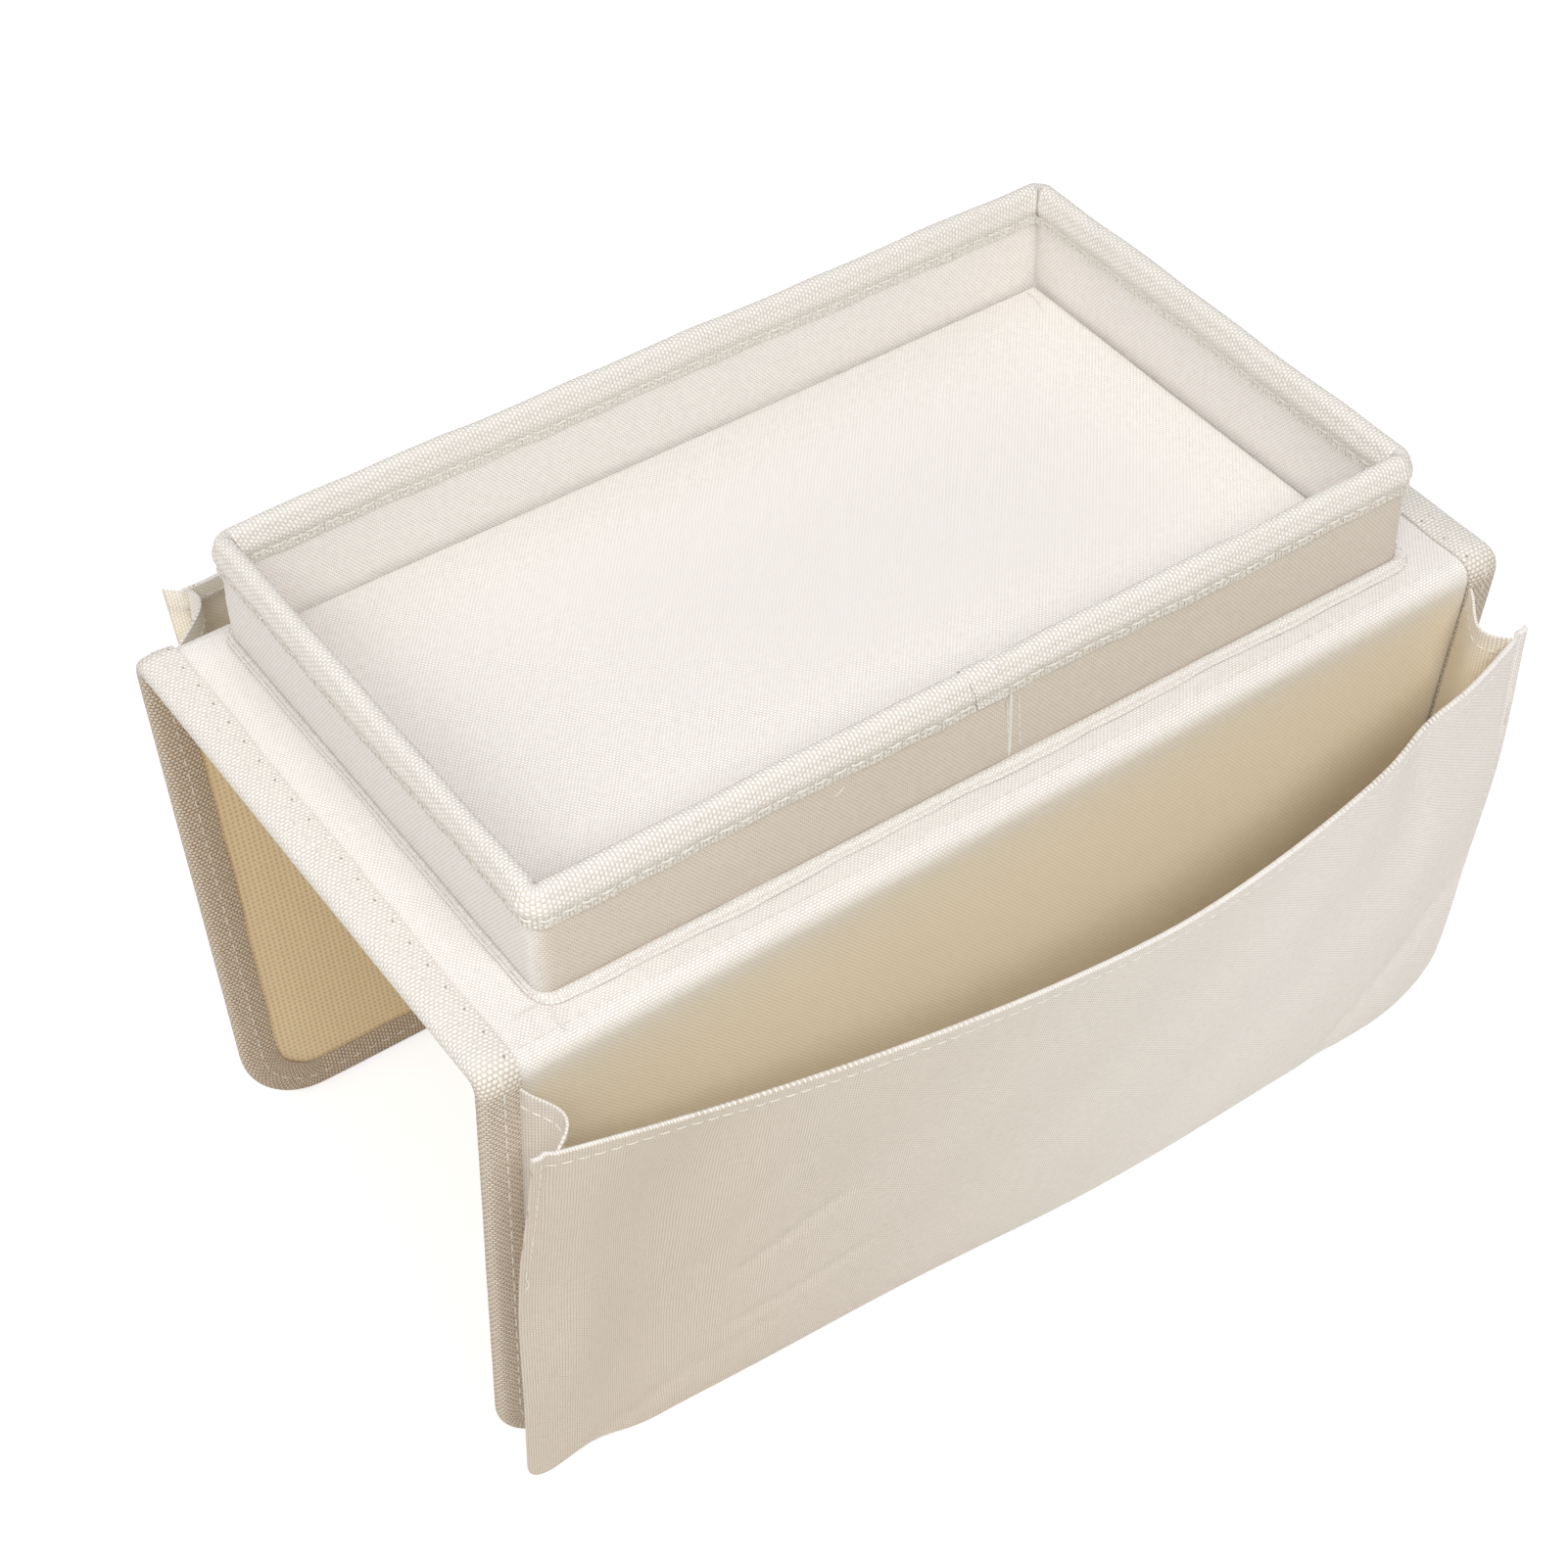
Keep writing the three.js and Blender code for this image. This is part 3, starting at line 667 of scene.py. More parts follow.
class Tray:
    """Where the tray stands, and the lines round it."""

    def __init__(self, settings):
        self.low, self.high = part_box("tray_outer_cloth")
        self.corner = settings.tray.corner
        self.base = self.low.z
        self.height = self.high.z - self.low.z

    def outline(self, inset):
        """Points and outward directions round the tray, moved in by inset; every inset has as many points."""
        radius = max(self.corner - inset, 0.35 * MM)
        middle = (self.low + self.high) / 2
        half_x = (self.high.x - self.low.x) / 2 - inset - radius
        half_y = (self.high.y - self.low.y) / 2 - inset - radius
        points, outward = [], []
        for quarter, (right, back) in enumerate(((1, -1), (1, 1), (-1, 1), (-1, -1))):
            start = math.radians(quarter * 90 - 90)
            centre = np.array([middle.x + right * half_x, middle.y + back * half_y])
            turn = np.linspace(start, start + math.pi / 2, 9)
            ring = np.stack([np.cos(turn), np.sin(turn)], axis=-1)
            points.append(centre + radius * ring)
            outward.append(ring)
            run = 2 * (half_y if quarter % 2 == 0 else half_x)
            count = 40 if quarter % 2 == 0 else 70
            way = np.array([-ring[-1][1], ring[-1][0]])
            steps = np.linspace(0, run, count + 2)[1:-1, None]
            points.append(points[-1][-1] + steps * way)
            outward.append(np.repeat(ring[-1:], count, axis=0))
        return np.concatenate(points), np.concatenate(outward)

    def around(self):
        """Distance round the tray for each outline point, and once more for the full turn."""
        return travel(closed(self.outline(0)[0]))

    def ring(self, inset, height):
        """A ring of points at one inset and one height above the tray's base."""
        line, outward = self.outline(0)
        inset = np.broadcast_to(inset, (len(line),))
        rings = self.outline(float(np.median(inset)))[0]
        rings = rings - outward * (inset - np.median(inset))[:, None]
        z = np.broadcast_to(self.base + height, (len(line),))
        return np.concatenate([rings, z[:, None]], axis=1)


def straightness(outward):
    """One on a straight wall and less round a corner."""
    return np.max(np.abs(outward), axis=1) ** 6


def tray_walls(settings, looks):
    """Outer and inner wall cloth, the seam where the outer strip's ends meet, and the sewn corners."""
    tray = Tray(settings)
    cloth = settings.tray.cloth
    around = tray.around()
    outward = tray.outline(0)[1]
    straight = straightness(outward)
    # Painted shade: the outer wall takes the darker painted shade colours on its front, under the rim.
    front_painted_shade = 0.9 * np.clip(-outward[:, 1], 0, 1) ** 2
    heights = np.linspace(0, tray.height, 15)
    free = tray.height - settings.tray.rim_face
    for name, inset, sign, node, look, tone in (
        ("tray_outer_wall", 0, -1, "tray_outer_cloth", "panel", front_painted_shade),
        ("tray_inner_wall", settings.tray.wall, 1, "tray_inner_cloth", "cover", 0.0),
    ):
        outer, inner = [], []
        for height in heights:
            swell = settings.tray.bulge * math.sin(math.pi * min(height / free, 1)) * straight
            swell = swell * (1 + waver(around[:-1], 4.0 + sign, 0.8))
            swell = swell if sign < 0 else 0.25 * swell
            outer.append(tray.ring(inset + sign * swell, height))
            inner.append(tray.ring(inset + sign * swell - sign * cloth, height))
        piece = Piece()
        coords = grid(heights[:, None], around[None])
        piece.sheet(np.array(outer), np.array(inner), coords, ring=True, shades=(tone, tone))
        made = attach(piece.make(name, looks[look]), "saddle")
        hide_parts(node)
    sewn = Piece()
    front = tray.low.y - settings.tray.bulge - 0.15 * MM
    out = (0, -1, 0)
    z = np.linspace(tray.base + 3.5 * MM, tray.base + free, 14)
    for x, lean in ((2.2 * MM, 1.6 * MM), (6.4 * MM, 1.2 * MM)):
        line = grid(x + lean * np.linspace(1, 0, 14), front, z)
        stitches(sewn, line, out, pitch=3.4 * MM, radius=0.22 * MM, seed=8)
    z = np.linspace(tray.base + 2.5 * MM, tray.base + free + 1 * MM, 14)
    thread(sewn, grid(3.9 * MM, front + 0.2 * MM, z), out, radius=0.55 * MM)
    corner_inset = 1.4 * MM
    y = tray.low.y + corner_inset
    for x in (tray.low.x + corner_inset, tray.high.x - corner_inset):
        line = grid(x + 0.4 * MM * np.sin(z * 300), y, z)
        stitches(sewn, line, unit(np.array([x, y, 0])), pitch=3.2 * MM, radius=0.22 * MM, seed=9)
    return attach(sewn.make("tray_wall_seam", looks["thread"]), "saddle")


def tray_rim(settings, looks):
    """Plump tape over the walls' top edge, its stitch lines, its sewn lower edges and its lapped join."""
    tray, sizes = Tray(settings), settings.tray
    cloth, stand = settings.saddle.tape_cloth, settings.saddle.tape_stand
    around = tray.around()
    outward = tray.outline(0)[1]
    straight = straightness(outward)
    profile = tape_profile(sizes.rim_face, stand, cloth, sizes.wall, sizes.rim_plump, sizes.rim_flat)
    wave = waver(around[:-1], 1.3, 0.5 * MM) * straight
    dent = 0.5 * MM * (1 - straight)

    def rim_ring(drop, lift):
        """A ring at a distance below the rim's top and a distance off the outer wall."""
        away = lift + sizes.wall / 2
        sway = 1 if away > 0 else -1
        lower = (drop / sizes.rim_face) ** 2 * waver(around[:-1], 7.0 + sway, 0.5 * MM)
        height = tray.height + stand - drop + wave - dent * (1 - drop / sizes.rim_face) + lower
        return tray.ring(-lift + sway * 0.25 * waver(around[:-1], 3.0, 1.0 * MM) * straight, height)

    piece = Piece()
    points = np.array([rim_ring(drop, lift) for drop, lift in profile])
    across = travel(closed(profile))
    # Painted shade on the flat sewn band at the rim's lower edge, more on the outer face than on the inner one.
    edge_start, edge_ramp = sizes.rim_face - sizes.rim_flat - 0.4 * MM, 0.8 * MM
    edge_painted_shade = np.clip((profile[:, 0] - edge_start) / edge_ramp, 0, 1)
    edge_painted_shade = edge_painted_shade * np.where(profile[:, 1] > -sizes.wall / 2, 0.3, 0.1)
    piece.loop(points, grid(around[None], across[:, None]), shade=edge_painted_shade[:, None])
    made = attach(piece.make("tray_rim", looks["tape"]), "saddle")
    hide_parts("tray_rim_binding")

    sewn = Piece()
    level = np.concatenate([outward, 0 * outward[:, :1]], axis=1)
    bar_pitch, thick = 2.1 * MM, 0.34 * MM
    for face, ways in ((stand, level), (-sizes.wall - stand, -level)):
        line = rim_ring(sizes.rim_face - sizes.rim_flat + 0.5 * MM, face)
        stitches(sewn, closed(line), closed(ways), pitch=6.0 * MM, radius=thick, seed=11)
        edge = rim_ring(sizes.rim_face - 0.2 * MM, face)
        for place in np.arange(0, around[-2], bar_pitch):
            high, low, out = (follow(place, around[:-1], each) for each in (line, edge, ways))
            middle = (high + low) / 2 + out * 0.35 * MM
            thread(sewn, [high, middle, low, low - out * 0.7 * MM], (0.3, 0.4, 0), thick, sides=5)
    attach(sewn.make("tray_rim_stitches", looks["thread"]), "saddle")

    lap_start, lap_width, lap_stand = -11 * MM, 9 * MM, 0.4 * MM
    lap = tape_profile(sizes.rim_face, stand + lap_stand, cloth, sizes.wall, sizes.rim_plump, sizes.rim_flat)
    drop, lift = lap.T[:, None]
    rows = np.linspace(0, 1, 7)[:, None]
    x = lap_start + lap_width * rows + 0.25 * drop
    z = tray.base + tray.height + stand + lap_stand - drop
    join = Piece()
    join.tube(grid(x, tray.low.y - lift, z), grid(lap_width * rows, across[None]))
    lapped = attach(join.make("tray_rim_join", looks["tape"]), "saddle")
    return made


def tray_welt(settings, looks):
    """The doubled, stitched edge where the walls meet the top, and the thread ends on it and on the wall."""
    tray, sizes = Tray(settings), settings.tray
    around = tray.around()
    outward = tray.outline(0)[1]
    front = np.clip(-outward[:, 1], 0, 1) ** 2
    width = sizes.welt_front * front + sizes.welt_other * (1 - front)
    width = width * (1 + waver(around[:-1], 2.4, 0.18))
    wall_swell = 0.75 * MM
    profile = (
        (0.02, 0.02), (0.02, 0.7), (0.10, 1.0), (0.25, 1.05), (0.40, 0.9), (0.52, 0.55),
        (0.64, 0.7), (0.80, 0.72), (0.95, 0.5), (1.0, 0.2), (0.97, 0.02),
    )
    points = []
    for part, rise in profile:
        lean = wall_swell * rise * min(part / 0.25, 1)
        points.append(tray.ring(-lean - width * part, sizes.welt_height * rise))
    across = np.linspace(0, 8 * MM, len(profile) + 1)
    piece = Piece()
    piece.loop(np.array(points), grid(around[None], across[:, None]))
    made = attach(piece.make("tray_welt", looks["cover"]), "saddle")
    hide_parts("tray_base_welt")
    sewn = Piece()
    up = unit(np.concatenate([outward, 0 * outward[:, :1] + 1.5], axis=1))
    for part, rise, pitch in ((0.2, 1.08, 5.0 * MM), (0.76, 0.76, 3.4 * MM)):
        line = tray.ring(-wall_swell * rise - width * part, sizes.welt_height * rise)
        stitches(sewn, line, up, pitch, radius=0.3 * MM, seed=14)
    loose_end(sewn, [(-149.5, -86, 5.6), (-153, -86.2, 6.2), (-158.5, -85.2, 4.2)])
    loose_end(sewn, [(-147.5, -88.5, 5.8), (-148.6, -92, 6.0), (-147.9, -97.5, 4.1)])
    loose_end(sewn, [(-57.5, -86.5, 27.5), (-56.4, -88.5, 29.5), (-54.2, -88.2, 31.0)])
    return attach(sewn.make("tray_welt_stitches", looks["thread"]), "saddle")


def floor_panel(looks):
    """Cloth-covered loose panel on the tray's floor, and the thread end that lies in its corner."""
    low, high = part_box("floor_cover")
    steps = np.array([0, 0.0025, 0.008, 0.03])
    u = np.concatenate([steps, np.linspace(0.06, 0.94, 33), 1 - steps[::-1]])
    x = (low.x + (high.x - low.x) * u)[None]
    y = (low.y + (high.y - low.y) * u)[:, None]
    rim = np.minimum(np.minimum(x - low.x, high.x - x), np.minimum(y - low.y, high.y - y))
    drop = 0.5 * MM * np.exp(-rim / (0.6 * MM))
    puff = 0.18 * MM * np.sin(x * 23 + 1) * np.sin(y * 31 + 2)
    x, y = np.broadcast_arrays(x, y)
    top = np.stack([x, y, high.z + puff - drop], axis=-1)
    bottom = np.stack([x, y, low.z + 0.4 * drop], axis=-1)
    piece = Piece()
    piece.sheet(top, bottom, np.stack([y, x], axis=-1))
    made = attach(piece.make("floor_panel", looks["cover"], crisp=70), "tray_floor")
    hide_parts("floor_cover")
    sewn = Piece()
    spots = [(139.5, 83.2, 6.9), (139.8, 79, 7.6), (138.2, 74, 6.8), (137.6, 71.5, 6.7)]
    loose_end(sewn, spots, radius=0.2 * MM)
    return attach(sewn.make("floor_thread_end", looks["thread"]), "tray_floor")


# Shape of the pockets

# Where a panel's rows start to lie closer together, as a share of its height
BOTTOM_START = 0.82

# Soft folds down a panel: height, place as a share of its half length, and width
FOLDS = (
    (1.8 * MM, -0.5, 26 * MM),
    (-5.5 * MM, -0.77, 14 * MM),
    (1.6 * MM, -0.90, 8 * MM),
)

# Creases in a panel: both ends as shares of its half length and its height, then depth and width
CREASES = (
    ((-0.9, 1.0), (-0.5, 0.82), 0.8 * MM, 0.02),
    ((-0.63, 0.62), (-0.44, 0.46), 1.3 * MM, 0.016),
    ((-0.64, 0.81), (-0.34, 0.70), 1.2 * MM, 0.022),
    ((-0.56, 0.22), (-0.70, 0.60), 0.9 * MM, 0.03),
    ((0.72, 1.0), (0.97, 0.62), 1.2 * MM, 0.03),
    ((0.68, 0.02), (0.78, 0.4), 0.9 * MM, 0.035),
)


def crease(u, v, start, end, wide):
    """A soft line across a panel, one on the line and fading beside it and past its ends."""
    way = np.array(end) - np.array(start)
    size = float(np.hypot(*way))
    along = ((u - start[0]) * way[0] + (v - start[1]) * way[1]) / size**2
    beside = ((u - start[0]) * way[1] - (v - start[1]) * way[0]) / size
    past = np.maximum(np.abs(along - 0.5) - 0.35, 0)
    return bell(beside, 0, wide) * bell(past, 0, 0.15)


def bottom_rows(count):
    """Shares of a panel's height that lie closer together towards its rounded bottom corners."""
    return BOTTOM_START + (1 - BOTTOM_START) * np.sin(np.linspace(0, math.pi / 2, count))[1:]


def pocket_painted_light_share(v):
    """How much painted warm bounce light and shade a pocket's cloth has at a share of the pocket's height."""
    return np.clip(0.4 + v * 6, 0, 1)


class Pocket:
    """Where each point of one pocket lies beside its flap."""

    def __init__(self, side, settings):
        self.side = side
        self.sizes = getattr(settings, side.name)
        self.cloth = settings.saddle.cover_cloth
        self.seat = 0.6 * MM
        self.foot = 6 * MM
        self.tall = self.sizes.bottom - self.sizes.mouth
        self.low = 1 - 2 * MM / self.tall

    def place(self, u, v):
        """u from -1 to 1 along the panel, v from 0 at the mouth to 1 at the bottom: x, down and out."""
        p = self.sizes
        u, v = np.broadcast_arrays(np.asarray(u, float), np.asarray(v, float))
        down = p.mouth + self.tall * v
        x = np.zeros_like(down)
        for sign, corner in ((-1, p.corner_left), (1, p.corner_right)):
            drop = np.maximum(down - (p.bottom - corner), 0)
            reach = p.half - corner + np.sqrt(np.maximum(corner**2 - drop**2, 0))
            x = np.where(u * sign > 0, u * reach, x)
        span = np.where(x < p.bulge_x, p.bulge_x + p.half, p.half - p.bulge_x)
        full = np.maximum(1 - np.abs((x - p.bulge_x) / span) ** p.bulge_power, 0)
        right = ease(np.clip(0.5 + 0.5 * x / p.half, 0, 1))
        mouth = p.left_out + (p.right_out - p.left_out) * right + p.bulge * full
        foot = p.bottom_left + (p.bottom_right - p.bottom_left) * right + 5 * MM * full
        belly = p.belly_left + (p.belly_right - p.belly_left) * right
        middle = np.sin(math.pi * np.clip(v, 0, 1))
        fold = 0.8 * MM * np.sin(x * 70 + 9 * v) * middle
        for height, spot, wide in FOLDS:
            fold = fold + height * bell(x, spot * p.half, wide) * middle
        for start, end, deep, wide in CREASES:
            fold = fold - deep * crease(x / p.half, v, start, end, wide)
        from_left = np.maximum(x + p.half, 0)
        flare = p.flare * np.exp(-from_left / p.flange) * np.clip(1 - v, 0, 1) ** 3
        pinch = bell(p.half - np.abs(x), p.flange, 1.2 * MM) * np.clip(1.4 - 4 * v, 0, 1)
        kink = p.kink * bell(x, 0.71 * p.half, 14 * MM) * (1 - v) ** 2
        out = mouth * (1 - v) + foot * v + belly * middle + fold + flare - 0.9 * MM * pinch - kink
        tip = p.tip * np.exp(-from_left / (14 * MM))
        raised = bell(x, -0.87 * p.half, 12 * MM) - 0.4 * bell(x, -0.78 * p.half, 10 * MM)
        wave = p.wave * np.sin(x * 42)
        down = down + p.dip * full * (1 - v) ** 2 + (tip - p.lift * raised + wave) * v**4
        x = x - p.spread * np.clip(v / 0.3, 0, 1) * np.exp(-from_left / (40 * MM))
        return x, down, out

    def at(self, u, v, off=0.0):
        """A point of the panel's outside, moved out by off."""
        x, down, out = self.place(u, v)
        return self.side.flap(x, down, out + off)

    def gusset_edge(self, u, v):
        """Where a gusset meets the panel's inside: x, down and out."""
        x, down, out = self.place(u, v)
        return x, down, out - self.cloth - 0.3 * MM

    def bend_between(self, made, down, reach):
        """Bakes a piece's placement into its mesh; down and reach are not used."""
        base, tip = self.side.flap(0, down, 0.5 * MM), self.side.flap(0, down, reach)
        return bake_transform(made)


def pocket_panel(pocket, looks):
    """Front panel with its turned hem, its stitches and the thread ends at its edges."""
    side, sizes = pocket.side, pocket.sizes
    hem = 6 * MM / pocket.tall
    v = np.concatenate([
        [0, 0.3 * hem, 0.7 * hem, hem, 1.15 * hem], np.linspace(0.06, BOTTOM_START, 66), bottom_rows(20)
    ])[:, None]
    pinched = 1 - np.array([0.688, 1.548, 2.408, 3.268, 4.472]) * MM / sizes.half
    u = np.unique(np.concatenate([np.linspace(-1, 1, 173), pinched, -pinched]).round(6))[None]
    thick = pocket.cloth * np.where(v < 1.05 * hem, 2.0, 1.0)
    crown = pocket.at(u[0], -0.5 * MM / pocket.tall, -pocket.cloth)
    x, down, _ = pocket.place(u, v)
    # Painted shade: the outside darkens towards the panel's left end; the inside takes the pocket's painted
    # warm bounce light and shade.
    leftward_painted_shade = np.clip(0.35 - 0.85 * u, 0, 1)
    piece = Piece()
    piece.sheet(
        pocket.at(u, v), pocket.at(u, v, -thick), grid(x, down), slots=(0, 1), crown=crown,
        shades=(leftward_painted_shade, pocket_painted_light_share(v))
    )
    made = piece.make(side.name + "_panel", looks["panel"], looks["cover"])
    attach(made, side.name + "_pocket")
    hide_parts(side.name + "_pocket_panel")
    sewn = Piece()
    line, row, off = np.linspace(-0.985, 0.985, 240), 4.6 * MM / pocket.tall, 0.05 * MM
    outside, inside = pocket.at(line, row, off), pocket.at(line, row, -2 * pocket.cloth - off)
    stitches(sewn, outside, side.outward, pitch=4.4 * MM, radius=0.2 * MM, seed=21)
    stitches(sewn, inside, -side.outward, pitch=4.4 * MM, radius=0.2 * MM, seed=22)
    for u_edge, stop in ((-1, 0.32), (1, 0.5)):
        line = pocket.at(u_edge * (1 - 2.2 * MM / sizes.half), np.linspace(0.01, stop, 60), off)
        stitches(sewn, line, side.outward, pitch=4.0 * MM, radius=0.2 * MM, seed=23)
    if side.name == "front":
        for u_end, v_end, way in ((-0.992, 0.33, -1.0), (0.985, 0.17, 1.0)):
            x, down, out = (float(value) / MM for value in pocket.place(u_end, v_end))
            steps = ((0, 0, 0.3), (0.8 * way, 2.5, 0.9), (-0.3 * way, 5.5, 1.2), (0.9 * way, 8.5, 0.7))
            spots = [side.flap((x + a) * MM, (down + b) * MM, (out + c) * MM) / MM for a, b, c in steps]
            loose_end(sewn, spots)
    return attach(sewn.make(side.name + "_panel_stitches", looks["thread"]), side.name + "_pocket")


def side_gusset(pocket, looks, end, sign):
    """A gusset that folds inward like bellows, with its hem's stitches; gives x of its seam's lower end."""
    side, sizes = pocket.side, pocket.sizes
    name = side.name + "_gusset_" + end
    across = np.linspace(0, 1, 13)[None]
    v = np.concatenate([np.linspace(0, BOTTOM_START, 24), bottom_rows(12)])[:, None]
    flange = sizes.flange * np.exp(-v * pocket.tall / (45 * MM)) + 2 * MM
    x, down, out = pocket.gusset_edge(sign * (1 - flange / sizes.half), v * pocket.low)
    inset = np.maximum(sizes.half - flange - np.abs(x), 0)
    seam_x = sign * np.minimum(sizes.seam - inset, sizes.seam)
    seam_down = down - pocket.foot * np.clip(inset / (20 * MM), 0, 1) - sizes.rise * (1 - v) ** 2
    fold = sizes.crease * (1 - v) ** 0.7 * np.sin(math.pi * across**1.5)
    mid_x = seam_x + (x - seam_x) * across - sign * fold
    mid_down = seam_down + (down - seam_down) * across
    mid_out = pocket.seat + (out - pocket.seat) * across
    outer = side.flap(mid_x, mid_down, mid_out)
    way = unit(np.cross(np.gradient(outer, axis=0), np.gradient(outer, axis=1)))
    inner = outer + way * pocket.cloth * (-1 if way[2, 5, 0] * sign > 0 else 1)
    coords = grid(np.maximum(out, 14 * MM) * across, down)
    piece = Piece()
    # The outside takes painted shade by the gusset's setting; the inside takes the pocket's painted warm bounce
    # light and shade.
    piece.sheet(outer, inner, coords, slots=(0, 1), shades=(sizes.gusset_tone, pocket_painted_light_share(v)))
    made = piece.make(name, looks["panel"], looks["cover"])
    sewn = Piece()
    row = int(np.argmin(np.abs(down[:, 0] - down[0, 0] - 5 * MM)))
    for face, push in ((outer, sign), (inner, -sign)):
        line = face[row] + np.array([push * 0.05 * MM, 0, 0])
        stitches(sewn, line, (push, 0, 0), pitch=3.6 * MM, radius=0.2 * MM, seed=31)
    threads = sewn.make(name + "_stitches", looks["thread"])
    for part in (made, threads):
        pocket.bend_between(part, 60 * MM, float(out.min()) * 0.9)
    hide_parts(side.name + "_pocket_gusset_" + end)
    return float(seam_x[-1, 0])


def bottom_gusset(pocket, looks, seam_ends):
    """The gusset under a pocket, between its flap and the panel's bottom edge."""
    side, sizes = pocket.side, pocket.sizes
    across = np.linspace(0, 1, 6)[:, None]
    x, down, out = pocket.gusset_edge(np.linspace(-1, 1, 61)[None], pocket.low)
    seam_x = np.interp(x, (x.min(), x.max()), seam_ends)
    seam_down = down - pocket.foot
    mid_x = seam_x + (x - seam_x) * across
    mid_down = seam_down + (down - seam_down) * across + 1.5 * MM * np.sin(math.pi * across)
    mid_out = pocket.seat + (out - pocket.seat) * across
    outer, inner = side.flap(mid_x, mid_down, mid_out), side.flap(mid_x, mid_down - pocket.cloth, mid_out)
    piece = Piece()
    # The outside takes half the painted shade colours; the inside takes the pocket's painted warm bounce light
    # and shade.
    piece.sheet(outer, inner, grid(x, 16 * MM * across), slots=(0, 1), shades=(0.5, 1.0))
    made = piece.make(side.name + "_gusset_bottom", looks["panel"], looks["cover"])
    pocket.bend_between(made, sizes.bottom, 0.9 * float(out.min()))
    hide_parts(side.name + "_pocket_gusset_bottom")
    return made


# Materials

class Nodes:
    """Short calls for building one material's nodes."""

    def __init__(self, name):
        self.material = bpy.data.materials.new(name)
        self.material.use_nodes = True
        self.tree = self.material.node_tree
        self.surface = self.tree.nodes["Principled BSDF"]

    def new(self, kind, inputs=None, **values):
        """A node with its own values and inputs set or linked."""
        node = self.tree.nodes.new(kind)
        for key, value in values.items():
            setattr(node, key, value)
        for key, value in (inputs or {}).items():
            self.put(node.inputs[key], value)
        return node

    def put(self, socket, value):
        """Sets a socket, or links it where value is another node's output."""
        if isinstance(value, bpy.types.NodeSocket):
            self.tree.links.new(value, socket)
        else:
            socket.default_value = value

    def math(self, operation, first, second=0.0, clamp=False):
        """A calculation on one or two values."""
        node = self.new("ShaderNodeMath", {0: first, 1: second}, operation=operation, use_clamp=clamp)
        return node.outputs[0]

    def mix(self, factor, first, second, blend="MIX"):
        """A colour between two colours, or tinted by the second."""
        node = self.new("ShaderNodeMix", {0: factor, 6: first, 7: second}, data_type="RGBA", blend_type=blend)
        return node.outputs[2]

    def bump(self, height, distance):
        """Gives the surface its raised detail."""
        node = self.new("ShaderNodeBump", {"Height": height, "Distance": distance, "Strength": 1.0})
        self.put(self.surface.inputs["Normal"], node.outputs["Normal"])

    def finish(self, tone, roughness, sheen=0.0):
        """Sets the surface's colour and shine, and gives the material."""
        self.put(self.surface.inputs["Base Color"], tone)
        self.surface.inputs["Roughness"].default_value = roughness
        self.surface.inputs["Specular IOR Level"].default_value = 0.2
        self.surface.inputs["Sheen Weight"].default_value = sheen
        return self.material


def opaque(tone):
    """A colour with full alpha."""
    return (*tone, 1.0)


def weave(name, plain, shaded, across, along, bump, open_weave=0.6, holes=None):
    """Weave in the cloth's own coordinates.

    Its yarn and gap colours go from plain to shaded with the mesh's shade, which paints shade and bounce light.
    """
    nodes = Nodes(name)
    flat = nodes.new("ShaderNodeUVMap", uv_map="weave").outputs[0]
    drift = nodes.new("ShaderNodeTexNoise", {"Vector": flat, "Scale": 160.0, "Detail": 2.0}).outputs["Color"]
    shift = nodes.new("ShaderNodeVectorMath", {0: drift, "Scale": 0.35 * along}, operation="SCALE").outputs[0]
    moved = nodes.new("ShaderNodeVectorMath", {0: flat, 1: shift}, operation="ADD").outputs[0]
    part = nodes.new("ShaderNodeSeparateXYZ", {0: moved})
    column = nodes.math("MULTIPLY", part.outputs[0], 1 / across)
    stagger = nodes.math("MULTIPLY", nodes.math("FLOOR", column), 0.5)
    bead = nodes.math("ADD", nodes.math("MULTIPLY", part.outputs[1], 1 / along), stagger)
    first = nodes.math("ABSOLUTE", nodes.math("SINE", nodes.math("MULTIPLY", column, math.pi)))
    second = nodes.math("ABSOLUTE", nodes.math("SINE", nodes.math("MULTIPLY", bead, math.pi)))
    height = nodes.math(
        "MULTIPLY", nodes.math("POWER", first, open_weave), nodes.math("POWER", second, open_weave - 0.1)
    )
    slub = nodes.new("ShaderNodeTexNoise", {"Vector": flat, "Scale": 420.0, "Detail": 3.0}).outputs["Fac"]
    height = nodes.math("ADD", height, nodes.math("MULTIPLY", slub, 0.3))
    shade = nodes.new("ShaderNodeAttribute", attribute_name="shade").outputs["Fac"]
    yarn, gap = (nodes.mix(shade, opaque(one), opaque(two)) for one, two in zip(plain, shaded))
    # Where the yarn sits low it takes the gap colour, which paints the shade between the yarns.
    tone = nodes.mix(nodes.math("MULTIPLY", height, 1.25, clamp=True), gap, yarn)
    if holes is not None:
        pitch = 9.5 * MM
        along_line = nodes.math("PINGPONG", part.outputs[0], pitch / 2)
        beside = nodes.math("ABSOLUTE", nodes.math("SUBTRACT", part.outputs[1], holes))
        long_way = nodes.math("MULTIPLY", along_line, 1 / (0.6 * MM))
        short_way = nodes.math("MULTIPLY", beside, 1 / (0.4 * MM))
        pierced = nodes.math("LESS_THAN", nodes.math("ADD", long_way, short_way), 1.0)
        tone = nodes.mix(pierced, tone, (0.42, 0.37, 0.30, 1.0))
        height = nodes.math("SUBTRACT", height, pierced)
    nodes.bump(height, bump)
    return nodes.finish(tone, 0.9, 0.12)


